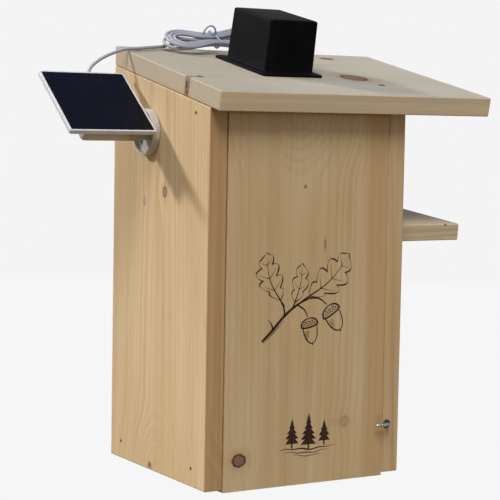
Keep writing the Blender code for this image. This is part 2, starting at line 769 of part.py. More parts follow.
def build_swivel(left):
    """Round wall cup with its screws, and the rod that the panel turns on."""
    axis_y, axis_z = cup_place()
    hole = arm_screw_radius + hole_clearance
    sunk = 3 * seam + arm_screw_head_height
    cup_profile = [(hole, cup_floor), (cup_radius - cup_rim, cup_floor),
                   (cup_radius - cup_rim, cup_depth - cup_rim / 4), (cup_radius - cup_rim * 3 / 4, cup_depth),
                   (cup_radius - cup_rim / 4, cup_depth), (cup_radius, cup_depth - cup_rim / 4),
                   (cup_radius, seam), (arm_screw_head + hole_clearance, seam),
                   (arm_screw_head + hole_clearance, sunk), (hole, sunk), (hole, cup_floor)]
    white = material("swivel_plastic", (0.80, 0.80, 0.80), 0.4)
    cup = add("wall_cup", outward(turned(cup_profile, 40), axis_y, axis_z), white)
    soften(cup)

    head = (cup_screw_head, cup_screw_head_height, cup_screw_radius, cup_screw_length)
    places = []
    for number in range(cup_screw_count):
        angle = cup_screw_angle + number * 2 * pi / cup_screw_count
        place = (-half_width - cup_floor - seam - cup_screw_head_height,
                 axis_y + cup_screw_circle * cos(angle), axis_z + cup_screw_circle * sin(angle))
        places.append(toward((-1.0, 0.0, 0.0), place))
    fasten("cup_screw", fastener(*head), places, (0.35, 0.34, 0.33), 0.35)
    shaft = round_bar(cup_screw_radius + hole_clearance, -cup_screw_length - seam, -seam, 12)
    holes = add("cup_screw_holes", copies(shaft, places))
    join(cup, holes)
    join(left, holes)

    rod_profile = [(0.0, rod_end), (rod_radius - seam * 2, rod_end), (rod_radius, rod_end - seam * 2),
                   (rod_radius, grip_left), (grip_radius - seam * 2, grip_left), (grip_radius, grip_left - seam * 2),
                   (grip_radius, grip_right + seam * 2), (grip_radius - seam * 2, grip_right),
                   (boss_radius, grip_right), (boss_radius, cup_floor + seam),
                   (arm_screw_radius + hole_clearance, cup_floor + seam),
                   (arm_screw_radius + hole_clearance, arm_screw_length + seam), (0.0, arm_screw_length + seam)]
    rod = add("swivel_rod", outward(turned(rod_profile, 36), axis_y, axis_z),
              material("rod_plastic", (0.78, 0.78, 0.78), 0.42))
    middle = (grip_left + grip_right) / 2
    slot = block(grip_slot, 2 * grip_slot_depth, grip_left - grip_right - grip_slot, (0.0, grip_radius, middle))
    turns = [Matrix.Rotation(number * 2 * pi / grip_count, 4, "Z") for number in range(grip_count)]
    slots = add("grip_slots", outward(copies(slot, turns), axis_y, axis_z))
    join(rod, slots)
    soften(rod)

    pivot = fastener(arm_screw_head, arm_screw_head_height, arm_screw_radius, arm_screw_length - seam)
    pivot.transform(Matrix.Translation((-half_width - 2 * seam, axis_y, axis_z))
                    @ Matrix.Rotation(pi / 2, 4, "Y"))
    add("swivel_screw", pivot, material("swivel_screw_steel", (0.5, 0.5, 0.5), 0.35, 1.0))


def build_panel(axis):
    """Solar panel: tray, cell, and the back box with the sleeve that turns on the rod."""
    under = panel_top - panel_thickness
    bore = rod_radius + pin_clearance
    profile = [(0.0, sleeve_left)]
    for step in range(5):
        angle = pi / 2 * (1 - step / 4)
        profile.append((sleeve_radius - sleeve_round + sleeve_round * cos(angle),
                        sleeve_left - sleeve_round + sleeve_round * sin(angle)))
    profile += [(sleeve_radius, sleeve_right + 2 * seam), (sleeve_radius - 2 * seam, sleeve_right),
                (bore, sleeve_right), (bore, rod_end + seam), (0.0, rod_end + seam)]
    sleeve = turned(profile, 36)
    sleeve.transform(Matrix.Rotation(-pi / 2, 4, "Y"))
    shell = add("panel_sleeve", sleeve, material("sleeve_plastic", (0.80, 0.80, 0.80), 0.42), parent=axis)
    centre_s = back_box_length / 2 - back_box_front
    outline = rounded(-panel_centre_x, centre_s, back_box_width, back_box_length, 2 * panel_corner)
    box = along_z("back_box", outline, under - seam - back_box_thickness, under - seam)
    join(shell, add("back_box", box, parent=axis), "UNION")

    tray_mesh = along_z("tray", rounded(-panel_centre_x, panel_centre_up, panel_width, panel_length, panel_corner),
                        under, panel_top)
    tray = add("panel_tray", tray_mesh, material("tray_plastic", (0.82, 0.82, 0.84), 0.4), parent=axis)
    chamfer(tray, panel_rim / 5)
    inner_width = panel_width - 2 * panel_rim
    inner_length = panel_length - 2 * panel_rim
    well = along_z("well", rounded(-panel_centre_x, panel_centre_up, inner_width, inner_length, panel_corner / 2),
                   panel_top - panel_recess, panel_top + overrun)
    join(tray, add("tray_well", well, parent=axis))
    cell = along_z("cell", rounded(-panel_centre_x, panel_centre_up, inner_width - 2 * seam, inner_length - 2 * seam,
                                   panel_corner / 2), panel_top - panel_recess + seam, panel_top - cell_sink)
    add("panel_cell", cell, material("cell_glass", (0.012, 0.014, 0.03), 0.12), parent=axis)

    exit_x = -panel_centre_x + lead_from_centre
    exit_s = centre_s + back_box_length / 2
    exit_z = under - lead_below_panel
    boot = turned([(0.0, boot_length), (lead / 2 + seam, boot_length), (lead * 3 / 4, seam), (0.0, seam)], 16)
    boot.transform(toward((0.0, 1.0, 0.0), (exit_x, exit_s, exit_z)))
    soften(add("lead_boot", boot, material("boot_plastic", (0.80, 0.80, 0.83), 0.5), parent=axis))


def hank_point(turn):
    """Centre line of the hank after a number of turns, in its own flat frame.

    The turns spiral in on the lower layer, climb along one front run, and spiral out again on the
    upper layer, turn_step a turn, with its left folds hank_nest short of the lower ones. The two
    long sides are drawn in alike at the tie by a squared cosine."""
    climb_start = layer_turns - 0.5
    climb_end = climb_start + run_share
    offset = turn_step * (max(0.0, climb_start - turn) + max(0.0, turn - climb_end))
    climb = min(max((turn - climb_start) / run_share, 0.0), 1.0)
    height = layer_step * climb * climb * (3 - 2 * climb)
    radius = fold_radius + offset
    phase = turn % 1.0
    along = phase % run_share / run_share
    back = phase < 2 * run_share
    left = hank_half_run - (hank_nest if turn >= climb_start else 0.0)
    if phase % (2 * run_share) < run_share:
        share = along if back else 1 - along
        x = (left + hank_half_run) * share - left
        draw = (fold_radius - waist_gap) * cos(pi * x / 2 / (left if x < 0 else hank_half_run)) ** 2
        return (x, (radius - draw) * (1 if back else -1), height)
    angle = pi / 2 - along * pi if back else -pi / 2 - along * pi
    end = hank_half_run if back else -left
    return (end + radius * cos(angle), radius * sin(angle), height)


def hank_matrix():
    """The hank's frame in the roof's frame: low at its front strand and its left end."""
    front = fold_radius + (layer_turns - 1) * turn_step
    reach = hank_half_run + fold_radius + (layer_turns - 0.5) * turn_step + lead / 2
    corner = (hank_centre_x - reach, hank_centre_s - front * cos(hank_roll), lead / 2 + hank_lift)
    lifted = Matrix.Translation(corner) @ Matrix.Rotation(-hank_pitch, 4, "Y")
    return (lifted @ Matrix.Translation((reach, 0.0, 0.0)) @ Matrix.Rotation(hank_roll, 4, "X")
            @ Matrix.Translation((0.0, front, 0.0)))


def least_gap(points, radius, skip):
    """Least distance between a tube and itself, past a number of neighbouring points."""
    places = np.array(points)
    middles = (places[1:] + places[:-1]) / 2
    everything = np.vstack([places, middles])
    order = np.concatenate([np.arange(len(places)), np.arange(len(middles)) + 0.5])
    apart = np.linalg.norm(everything[:, None] - everything[None, :], axis=2)
    near = np.abs(order[:, None] - order[None, :]) < skip
    apart[near] = np.inf
    return float(apart.min() - 2 * radius)


def build_hank(frame):
    """The lead's spare length: loops laid in two layers and drawn in at the tie."""
    turns = hank_end - hank_start
    count = round(turns * loop_points)
    matrix = hank_matrix()
    flat = [hank_point(hank_start + number * turns / count) for number in range(count + 1)]
    points = [tuple(matrix @ Vector(point)) for point in flat]
    print("least gap in the hank, mm", round(1000 * least_gap(flat, lead / 2, loop_points / 3), 2))
    soften(add("lead_hank", tube(points, lead / 2, 1), material("lead_plastic", (0.78, 0.78, 0.83), 0.5), parent=frame),
           radians(60.0))
    return points


def build_tie(frame):
    """Coated wire tie round the hank's waist, with its slack standing up in a small arch."""
    matrix = hank_matrix()
    gap = lead / 2 + tie_wire + tie_clearance
    low_rear = waist_gap + turn_step * (layer_turns - 0.5)
    low_front = -waist_gap - turn_step * (layer_turns - 1)
    high_rear = waist_gap + turn_step * (upper_turns - 0.5)
    high_front = -waist_gap - turn_step * (upper_turns - 1)
    middle = (high_front + high_rear) / 2
    lean = atan2(high_rear - low_rear, layer_step)
    top = layer_step + gap
    points = []
    for step in range(8):
        angle = step / 8 * pi
        x = tie_right - tie_arch_width * (1 + cos(angle)) / 2
        points.append((x, middle, top + 2 * tie_wire + tie_arch * sin(angle)))
    points.append((tie_right, middle, top))
    corners = [(high_front, layer_step, pi / 2, pi + lean), (low_front, 0.0, pi + lean, 3 * pi / 2),
               (low_rear, 0.0, -pi / 2, -lean), (high_rear, layer_step, -lean, pi / 2)]
    for y, z, start, stop in corners:
        for step in range(5):
            angle = start + step / 4 * (stop - start)
            points.append((tie_right, y + gap * cos(angle), z + gap * sin(angle)))
    points.append((tie_right, middle + 4 * tie_wire, top))
    world = [tuple(matrix @ Vector(point)) for point in points]
    add("lead_tie", tube(world, tie_wire, 1), material("tie_plastic", (0.55, 0.55, 0.60), 0.5), parent=frame)


def to_house(frame, point):
    """A point of a frame in the house's own coordinates."""
    bpy.context.view_layer.update()
    return frame.matrix_world @ Vector(point)


def lead_finish(name):
    return material(name, (0.78, 0.78, 0.83), 0.5)


def build_run(panel, roof, hank_points):
    """Free stretch from the panel's boot over the roof's corner to the hank."""
    under = panel_top - panel_thickness
    exit_x = -panel_centre_x + lead_from_centre
    exit_s = back_box_length - back_box_front + boot_length + seam
    exit_z = under - lead_below_panel
    start = to_house(panel, (exit_x, exit_s, exit_z))
    ahead = panel.matrix_world.to_3x3() @ Vector((0.0, 1.0, 0.0))
    finish = to_house(roof, hank_points[0])
    matrix = roof.matrix_world.to_3x3() @ hank_matrix().to_3x3()
    inward = (matrix @ Vector((1.0, 0.0, 0.0))).normalized()
    finish = finish - inward * seam
    route = [start, start + ahead * lead]
    # Chosen by hand: out under the panel, up past it, over the roof's corner and along its rear edge
    for point in ((-0.1550, -0.0295, 0.1383), (-0.1532, -0.0260, 0.1432), (-0.1493, -0.0246, 0.1493),
                  (-0.1425, -0.0248, 0.1552), (-0.1335, -0.0256, 0.1605), (-0.1235, -0.0271, 0.1648),
                  (-0.1150, -0.0283, 0.1676), (-0.1080, -0.0280, 0.1685), (-0.0990, -0.0254, 0.1691),
                  (-0.0870, -0.0202, 0.1703), (-0.0730, -0.0140, 0.1717), (-0.0600, -0.0088, 0.1731),
                  (-0.0500, -0.0059, 0.1752), (-0.0410, -0.0051, 0.1777), (-0.0325, -0.0061, 0.1801),
                  (-0.0225, -0.0092, 0.1817)):
        route.append(Vector(point))
    route += [finish - inward * lead, finish]
    add("lead_run", tube(smooth_path(route, 2 * lead), lead / 2, 2), lead_finish("lead_run_plastic"))


def build_tail(roof, hank_points, place):
    """Free stretch from the hank's upper layer round and into the cover's gland."""
    start = Vector(hank_points[-1])
    ahead = (start - Vector(hank_points[-2])).normalized()
    start = start + ahead * seam
    finish = place + Vector((0.0, gland_boot + seam, 0.0))
    route = [start, start + ahead * lead]
    # Chosen by hand: on past the hank's end, round above it and back to the gland
    for point in ((0.0300, 0.2116, 0.0240), (0.0367, 0.2096, 0.0256), (0.0410, 0.2040, 0.0270),
                  (0.0416, 0.1963, 0.0280), (0.0400, 0.1867, 0.0287), (0.0373, 0.1770, 0.0290),
                  (0.0345, 0.1680, 0.0290)):
        route.append(Vector(point))
    route += [finish + Vector((0.0, lead, 0.0)), finish]
    add("lead_tail", tube(smooth_path(route, 2 * lead), lead / 2, 2), lead_finish("lead_tail_plastic"), parent=roof)


def main():
    start_scene()
    left, right, rear = build_walls()
    floor = build_floor()
    rail = build_rail()
    roof = build_roof()
    door, bores = build_door()
    for piece in (door, left, right):
        join(piece, bores)
    shelf = build_shelf()
    cut_entrance(right)
    build_fasteners(left, right, rear, floor, rail, roof, shelf)
    build_hook(right)
    frame = roof_frame()
    cover, centre_x, lens_s = build_cover(frame, roof)
    place = build_gland(frame, cover, centre_x, lens_s)
    build_swivel(left)
    axis = panel_frame()
    build_panel(axis)
    hank_points = build_hank(frame)
    build_tie(frame)
    build_run(axis, frame, hank_points)
    build_tail(frame, hank_points, place)
    bpy.context.view_layer.update()


main()
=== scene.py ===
from math import atan2, cos, pi, radians, sin, tan

import bmesh
import bpy
import numpy as np
from mathutils import Matrix, Vector


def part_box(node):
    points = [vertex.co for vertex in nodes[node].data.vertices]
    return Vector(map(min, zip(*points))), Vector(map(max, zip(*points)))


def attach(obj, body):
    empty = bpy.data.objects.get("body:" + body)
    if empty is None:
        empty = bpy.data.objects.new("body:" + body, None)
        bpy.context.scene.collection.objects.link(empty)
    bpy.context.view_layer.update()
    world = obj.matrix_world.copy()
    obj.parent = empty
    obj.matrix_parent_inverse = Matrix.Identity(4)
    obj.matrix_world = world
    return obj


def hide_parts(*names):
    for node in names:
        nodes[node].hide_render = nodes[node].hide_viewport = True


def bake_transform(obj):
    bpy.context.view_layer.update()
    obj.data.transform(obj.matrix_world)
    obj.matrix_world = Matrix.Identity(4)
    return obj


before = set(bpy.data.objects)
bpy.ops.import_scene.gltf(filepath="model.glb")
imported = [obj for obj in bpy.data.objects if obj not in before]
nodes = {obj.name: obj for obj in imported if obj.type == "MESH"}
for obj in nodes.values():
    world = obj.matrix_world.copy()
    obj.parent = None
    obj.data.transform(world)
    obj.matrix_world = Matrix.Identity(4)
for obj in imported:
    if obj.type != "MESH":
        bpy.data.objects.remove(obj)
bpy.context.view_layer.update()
print("frame loaded,", len(nodes), "solids")


def moved(axes, place, angle, letter):
    # Axes carried to a place in them, then turned about one of them.
    return axes @ np.array(Matrix.Translation(place) @ Matrix.Rotation(angle, 4, letter))


def linked(name, data):
    # A new object in the scene.
    thing = bpy.data.objects.new(name, data)
    bpy.context.scene.collection.objects.link(thing)
    return thing


# Sizes that several pieces share, as in the part's own source
house = {"halfWidth": 0.111, "front": -0.200, "roofSlope": radians(12.0), "board": 0.019, "underRoof": 0.110}
swivel = {"y": -0.079, "z": 0.0852194, "tilt": radians(37.0)}
roofLift = (0.0, house["front"] - house["board"] * sin(house["roofSlope"]),
            house["underRoof"] + house["board"] * cos(house["roofSlope"]))
swivelPlace = (-house["halfWidth"], swivel["y"], swivel["z"])
roofAxes = moved(np.eye(4), roofLift, house["roofSlope"], "X")         # x right, y up the slope, z off the roof
panelAxes = moved(np.eye(4), swivelPlace, swivel["tilt"], "X")         # x right, y up the panel, z off its face
cupAxes = moved(np.eye(4), swivelPlace, -pi / 2, "Y")                  # z straight out of the left wall
sleeveAxes = moved(panelAxes, (0.0, 0.0, 0.0), -pi / 2, "Y")


# Camera: a focal length in pixels of the 500 pixel frame, three turns and a place
viewpoint = {"focal": 1637.1, "frame": 500, "sensor": 36.0, "yaw": -30.823, "pitch": 4.555, "roll": 1.042,
             "place": (-0.8524, -1.5181, 0.0994)}


def makeCamera(view):
    # Looks along a level direction turned by yaw, dips by pitch, then leans by roll about that line.
    level = Matrix.Rotation(radians(view["yaw"]), 3, "Z")
    pitch, roll = radians(view["pitch"]), radians(view["roll"])
    ahead = level @ Vector((0.0, cos(pitch), -sin(pitch)))
    right = level @ Vector((1.0, 0.0, 0.0))
    above = right.cross(ahead)
    side = cos(roll) * right + sin(roll) * above
    up = -sin(roll) * right + cos(roll) * above
    data = bpy.data.cameras.new("camera")
    data.sensor_width = view["sensor"]
    data.lens = view["sensor"] * view["focal"] / view["frame"]
    eye = linked("camera", data)
    eye.matrix_world = Matrix([(side[k], up[k], -ahead[k], view["place"][k]) for k in range(3)] + [(0, 0, 0, 1)])
    bpy.context.scene.camera = eye


makeCamera(viewpoint)
print("camera placed")


# Shapes: whole arrays of points, joined to meshes
def shares(count):
    # Even steps from 0 to 1.
    return np.linspace(0.0, 1.0, count)


def unit(vectors):
    # One vector, or each row of several, at length 1.
    return vectors / np.linalg.norm(vectors, axis=-1, keepdims=True)


def runAlong(path):
    # Distance from the start of a path to each of its points.
    return np.concatenate([[0.0], np.cumsum(np.linalg.norm(np.diff(path, axis=0), axis=1))])


def catmullRom(knots, first, t):
    # The curve from the knot after each first one to the next, at the shares t.
    a, b, c, d = (knots[first + k] for k in range(4))
    return 0.5 * (2 * b + (c - a) * t + (2 * a - 5 * b + 4 * c - d) * t ** 2 + (3 * b - a - 3 * c + d) * t ** 3)


def placed(points, axes):
    # Every point turned and moved by a 4x4 matrix.
    points = np.asarray(points, float)
    return points @ axes[:3, :3].T + axes[:3, 3]


def gridFaces(rows, columns):
    # Quads between neighbouring rows and columns; each row closes on itself.
    r = np.arange(rows - 1)[:, None]
    c = np.arange(columns)[None, :]
    after = (c + 1) % columns
    quads = np.stack([r * columns + c, r * columns + after, (r + 1) * columns + after, (r + 1) * columns + c], -1)
    return quads.reshape(-1, 4)


def makePiece(name, shape, finish, body, stands=(), bend=None, sharp=35.0, lay=None):
    # Merges equal points, turns the faces outwards, smooths all but sharp edges, and puts the piece on its body;
    # lay holds the points as they lie before they are bent or moved.
    mesh = bpy.data.meshes.new(name)
    mesh.from_pydata(shape[0].tolist(), [], shape[1].tolist())
    if lay is not None:
        layer = mesh.attributes.new("lay", "FLOAT_VECTOR", "POINT")
        layer.data.foreach_set("vector", np.asarray(lay, np.float32).ravel())
    work = bmesh.new()
    work.from_mesh(mesh)
    bmesh.ops.remove_doubles(work, verts=work.verts, dist=1e-6)
    bmesh.ops.recalc_face_normals(work, faces=work.faces)
    work.to_mesh(mesh)
    work.free()
    mesh.shade_smooth()
    mesh.set_sharp_from_angle(angle=radians(sharp))
    mesh.materials.append(finishes[finish])
    piece = linked(name, mesh)
    if stands:
        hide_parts(*stands)
    if bend:
        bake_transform(piece)
    else:
        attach(piece, body)
    return piece


def together(parts):
    # Several sets of points and faces as one.
    starts = np.cumsum([0] + [len(points) for points, faces in parts[:-1]])
    return (np.vstack([points for points, faces in parts]),
            np.vstack([faces + start for (points, faces), start in zip(parts, starts)]))


def lathe(profile, sides, axes, wave=None):
    # Surface of revolution: each profile row is a radius and a height, turned about Z; wave scales the radius
    # by a share that depends on angle and height.
    profile = np.asarray(profile, float)
    angle = np.linspace(0.0, 2 * pi, sides, endpoint=False)
    radius, height = (np.repeat(profile[:, k, None], sides, axis=1) for k in range(2))
    if wave is not None:
        radius = radius * wave(angle[None, :], height)
    grid = np.stack([radius * np.cos(angle), radius * np.sin(angle), height], -1)
    return placed(grid.reshape(-1, 3), axes), gridFaces(len(profile), sides)


def softProfile(corners, fillet, steps=5):
    # Profile through corners, each inner corner rounded by a quadratic curve that starts fillet before it, or
    # just short of half way.
    corners = np.asarray(corners, float)
    t = shares(steps)[:, None]
    rows = [corners[:1]]
    for before, corner, after in zip(corners[:-2], corners[1:-1], corners[2:]):
        back, on = before - corner, after - corner
        cut = min(fillet, np.linalg.norm(back) / 2.05, np.linalg.norm(on) / 2.05)
        a, b = corner + unit(back) * cut, corner + unit(on) * cut
        rows.append((1 - t) ** 2 * a + 2 * t * (1 - t) * corner + t ** 2 * b)
    return np.vstack(rows + [corners[-1:]])


def outline(width, length, corner, steps):
    # Rectangle about the origin whose corners are quarter circles, counter-clockwise.
    corner = min(corner, width / 2, length / 2)
    angle = np.concatenate([np.linspace(q, q + pi / 2, steps) for q in np.arange(4) * pi / 2])
    signX = np.repeat([1, -1, -1, 1], steps)
    signY = np.repeat([1, 1, -1, -1], steps)
    x = signX * (width / 2 - corner) + corner * np.cos(angle)
    y = signY * (length / 2 - corner) + corner * np.sin(angle)
    return np.column_stack([x, y])


def loft(sections, axes, steps=8):
    # Skin through rounded rectangles, closed flat at both ends: each section is a width, length, corner, height
    # and centre (x, y).
    ends = [(0.0, 0.0, 0.0, *sections[k][3:]) for k in (0, -1)]
    rows = []
    for width, length, corner, height, *centre in (ends[0], *sections, ends[1]):
        flat = outline(width, length, corner, steps)
        rows.append(np.column_stack([flat + centre, np.full(len(flat), height)]))
    return placed(np.vstack(rows), axes), gridFaces(len(rows), 4 * steps)


def roundedEdge(size, height, edge, centre, steps, rising):
    # Sections along a quarter circle at an outer edge, in from a width, length and corner: from the flat below
    # up to the side, or from the side up to the flat above.
    rows = []
    for angle in np.linspace(0.0, pi / 2, steps):
        inset, drop = (1 - sin(angle), 1 - cos(angle)) if rising else (1 - cos(angle), sin(angle) - 1)
        rows.append((size[0] - 2 * edge * inset, size[1] - 2 * edge * inset, size[2], height + edge * drop, *centre))
    return rows


def sweep(path, radius, sides=16):
    # Tube: a ring across the path at each of its points, turned on from ring to ring without twist, and
    # drawn to a point at both ends. Its third result holds the points of the straightened tube.
    path = np.asarray(path, float)
    ahead = unit(np.gradient(path, axis=0))
    across = [unit(np.cross(ahead[0], (0.21, 0.93, 0.31)))]            # any direction that the path doesn't start in
    for direction in ahead[1:]:
        across.append(unit(across[-1] - direction * (across[-1] @ direction)))
    across = np.array(across)
    above = np.cross(ahead, across)
    radius = np.broadcast_to(np.asarray(radius, float), (len(path),))
    angle = np.linspace(0.0, 2 * pi, sides, endpoint=False)
    ring = np.cos(angle)[None, :, None] * across[:, None] + np.sin(angle)[None, :, None] * above[:, None]
    grid = path[:, None] + radius[:, None, None] * ring
    grid = np.concatenate([np.repeat(path[:1, None], sides, 1), grid, np.repeat(path[-1:, None], sides, 1)])
    run = runAlong(path)
    run = np.concatenate([run[:1], run, run[-1:]])
    width = np.concatenate([[0.0], radius, [0.0]])
    lay = np.stack([width[:, None] * np.cos(angle), width[:, None] * np.sin(angle),
                    np.repeat(run[:, None], sides, 1)], -1)
    return (grid.reshape(-1, 3), gridFaces(len(grid), sides)), lay.reshape(-1, 3)


def smoothPath(route, spacing):
    # Even points on a Catmull-Rom curve through a route, whose first and last stretches stay straight.
    knots = np.asarray(route, float)
    steps = np.linspace(0.0, 1.0, 24, endpoint=False)[None, :, None]
    curve = catmullRom(knots, np.arange(len(knots) - 3)[:, None], steps)
    curve = np.vstack([knots[:1], curve.reshape(-1, 3), knots[-2:]])
    run = runAlong(curve)
    even = np.linspace(0.0, run[-1], round(run[-1] / spacing) + 1)
    return np.column_stack([np.interp(even, run, curve[:, axis]) for axis in range(3)])


# Finishes: a wire is the output of a shader node, and sums of wires, numbers and triples add a node each
class Wire:
    def __init__(self, socket):
        self.socket, self.tree = socket, socket.id_data

    def __add__(self, other):
        return calc("ADD", self, other)

    def __sub__(self, other):
        return calc("SUBTRACT", self, other)

    def __mul__(self, other):
        return calc("MULTIPLY", self, other)

    def __truediv__(self, other):
        return calc("DIVIDE", self, other)


def feed(socket, value):
    # Links a wire, or sets a constant: a number fills all of a vector, and a colour gets its alpha.
    if isinstance(value, Wire):
        value.tree.links.new(value.socket, socket)
    elif socket.type == "VECTOR":
        socket.default_value = tuple(np.broadcast_to(value, 3))
    else:
        socket.default_value = (*value, 1.0) if socket.type == "RGBA" else value


def addNode(tree, kind, inputs=(), output=0, **settings):
    # One shader node: settings are its own properties, and inputs go to its sockets by number or by name.
    node = tree.nodes.new("ShaderNode" + kind)
    for setting, value in settings.items():
        setattr(node, setting, value)
    for key, value in inputs.items() if isinstance(inputs, dict) else enumerate(inputs):
        feed(node.inputs[key], value)
    return Wire(node.outputs[output])


def calc(operation, first, *others):
    # Arithmetic on numbers, or on vectors where the first wire is one.
    kind = "Math" if first.socket.type == "VALUE" else "VectorMath"
    return addNode(first.tree, kind, (first, *others), operation=operation)


def newFinish(name, roughness, metallic=0.0, specular=0.5, coat=0.0):
    finish = bpy.data.materials.new(name)
    finish.use_nodes = True
    sockets = finish.node_tree.nodes["Principled BSDF"].inputs
    sockets["Roughness"].default_value = roughness
    sockets["Metallic"].default_value = metallic
    sockets["Specular IOR Level"].default_value = specular
    sockets["Coat Weight"].default_value = coat
    return finish, finish.node_tree, sockets


def objectPoint(tree):
    return addNode(tree, "TexCoord", output="Object")


def turnedPoint(point, across, through, along):
    # Coordinates across the face, through the board and along the grain.
    return addNode(point.tree, "Mapping", {"Vector": point, "Rotation": Matrix((across, through, along)).to_euler()})


def split(vector):
    return [Wire(socket) for socket in addNode(vector.tree, "SeparateXYZ", (vector,)).socket.node.outputs]


def grainNoise(point, scale, detail=2.0, roughness=0.5, output="Fac"):
    # Noise whose grain has its own size on each axis: scale is in features per metre.
    return addNode(point.tree, "TexNoise", {"Vector": point * scale, "Scale": 1.0, "Detail": detail,
                                            "Roughness": roughness}, output)


def between(value, low, high, fromLow=0.0, toHigh=1.0):
    # Value from low to high as a share from fromLow to toHigh, in a smooth step.
    return addNode(value.tree, "MapRange", (value, low, high, fromLow, toHigh), interpolation_type="SMOOTHSTEP")


def mixed(share, first, second):
    # From the first colour to the second by a share, which is a wire.
    return addNode(share.tree, "Mix", {0: share, 6: first, 7: second}, 2, data_type="RGBA", clamp_factor=True)


def bumped(sockets, height, strength, distance):
    feed(sockets["Normal"], addNode(height.tree, "Bump", {"Height": height, "Strength": strength,
                                                          "Distance": distance}))


def fromScreen(red, green, blue):
    # Colour picked on a screen, 0 to 255, as the linear values that shaders use.
    share = np.array([red, green, blue]) / 255.0
    return tuple(float(c) for c in np.where(share <= 0.04045, share / 12.92, ((share + 0.055) / 1.055) ** 2.4))


# Timber: growth rings round a pith that lies off the board, so that faces, edges and ends agree. Each noise
# has its features per metre across, through and along, then its octaves and their roughness.
grains = {"slow": ((9.0, 9.0, 2.2), 1.5), "quick": ((75.0, 75.0, 11.0), 2.0), "ragged": (260.0, 3.0),
          "patchy": ((22.0, 22.0, 3.0), 2.0), "fibre": ((1500.0, 1500.0, 34.0), 3.0, 0.6),
          "streak": ((210.0, 210.0, 2.4), 3.0, 0.55), "patch": ((14.0, 14.0, 3.2), 2.0),
          "duct": ((780.0, 780.0, 26.0), 1.0), "uneven": (140.0, 1.0)}
timber = {"roughness": (0.54, 0.74), "lateGloss": 0.08, "unevenRings": 1.6, "ringStart": (0.28, 0.93),
          "ringEnd": (1.0, 0.95), "knotRagged": 0.4, "knotSwell": -0.16, "knotRings": 13.0, "haloShade": 0.35,
          "rimShade": 0.85, "lateRelief": 0.35, "fibreRelief": 0.45, "rimRelief": 0.8, "bump": (0.35, 0.00025)}


def timberFinish(name, board):
    # Distance from a wandering pith line, plus a taper along the grain and a swelling at each knot, is divided
    # into rings; each ring darkens slowly to a thin late line. The pith bends nearer to the face over one
    # stretch, where the rings make arches. Fibres, streaks, bands, ducts, knots, cracks and a painted shadow lie over
    # that.
    finish, tree, sockets = newFinish(name, 0.62, specular=0.35)
    point = turnedPoint(objectPoint(tree), board["across"], board["through"], board["along"])
    shifted = point + board["seed"]
    slow, quick = (grainNoise(shifted, *grains[grain], output="Color") - 0.5 for grain in ("slow", "quick"))
    bent = split(point + (slow * board["wander"] + quick * board["ripple"]))
    plain = split(point)
    start, end, nearer = board["rise"]
    u = bent[0] - board["pith"][0]
    v = bent[1] - (between(bent[2], start, end, 0.0, nearer) + board["pith"][1])
    distance = calc("SQRT", u * u + v * v) + plain[2] * board["taper"]

    knotShade, knotRim, knotHalo, knotRings = 0.0, 0.0, 0.0, 0.0
    ragged, patchy, fibre, streak, patch, duct = (
        grainNoise(shifted, *grains[grain]) for grain in ("ragged", "patchy", "fibre", "streak", "patch", "duct"))
    for place, size, stretch, depth in board["knots"]:
        du, dw = plain[0] - place[0], (plain[2] - place[1]) / stretch
        reach = calc("SQRT", du * du + dw * dw) / size
        rough = reach + (ragged - 0.5) * timber["knotRagged"]
        distance += calc("EXPONENT", reach * reach * timber["knotSwell"]) * (size * board["swell"])
        rim = between(rough, 0.62, 0.98, 0.0, depth) * between(rough, 1.22, 1.02)
        knotShade = calc("MAXIMUM", between(rough, 1.12, 0.86, 0.0, depth), knotShade)
        knotRim = calc("MAXIMUM", rim, knotRim)
        knotHalo = calc("MAXIMUM", between(rough, 2.8, 0.9, 0.0, depth), knotHalo)
        knotRings = calc("SINE", rough * timber["knotRings"]) + knotRings

    evenDistance = addNode(tree, "CombineXYZ", (distance,) * 3)
    phase = distance / board["ring"] + grainNoise(evenDistance, *grains["uneven"]) * timber["unevenRings"]
    ringShare = calc("FRACT", phase)
    late = between(ringShare, *timber["ringStart"]) * between(ringShare, *timber["ringEnd"])
    lateShare = late * between(patchy, 0.25, 0.75, board["faint"], board["strong"])

    colour = mixed(between(patch, 0.28, 0.72), board["pale"], board["warm"])
    darker = (lateShare, between(streak, 0.45, 0.78, 0.0, board["streak"]), between(fibre, 0.40, 0.75, 0.0, 0.20))
    for share in darker:
        colour = mixed(share, colour, board["late"])
    for middle, half, share in board["bands"]:
        off = calc("ABSOLUTE", bent[0] - middle)
        colour = mixed(between(off, half, 0.3 * half, 0.0, share), colour, board["band"])
    for axis, start, end, share, tone in board["edges"]:
        lined = between(streak, 0.35, 0.70, 0.0, 0.35) + 0.65
        colour = mixed(lined * between(plain[axis], start, end, 0.0, share), colour, board[tone])
    colour = mixed(between(duct, 0.70, 0.80, 0.0, 0.30), colour, board["knot"])
    if board["knots"]:
        ringed = mixed(between(knotRings, -1.1, 1.1), board["knot"], board["knotPale"])
        colour = mixed(knotHalo * timber["haloShade"], colour, board["halo"])
        colour = mixed(knotShade, colour, ringed)
        colour = mixed(knotRim * timber["rimShade"], colour, board["knotRim"])
    for low, high, share, tone in board["stainsAndShadows"]:
        colour = mixed(stainAndShadowBox(plain, ragged, low, high) * share, colour, board[tone])
    feed(sockets["Base Color"], colour)
    feed(sockets["Roughness"], between(fibre, 0.2, 0.8, *timber["roughness"]) - lateShare * timber["lateGloss"])
    height = lateShare * timber["lateRelief"] + fibre * timber["fibreRelief"]
    if board["knots"]:
        height -= knotRim * timber["rimRelief"]
    bumped(sockets, height, *timber["bump"])
    return finish


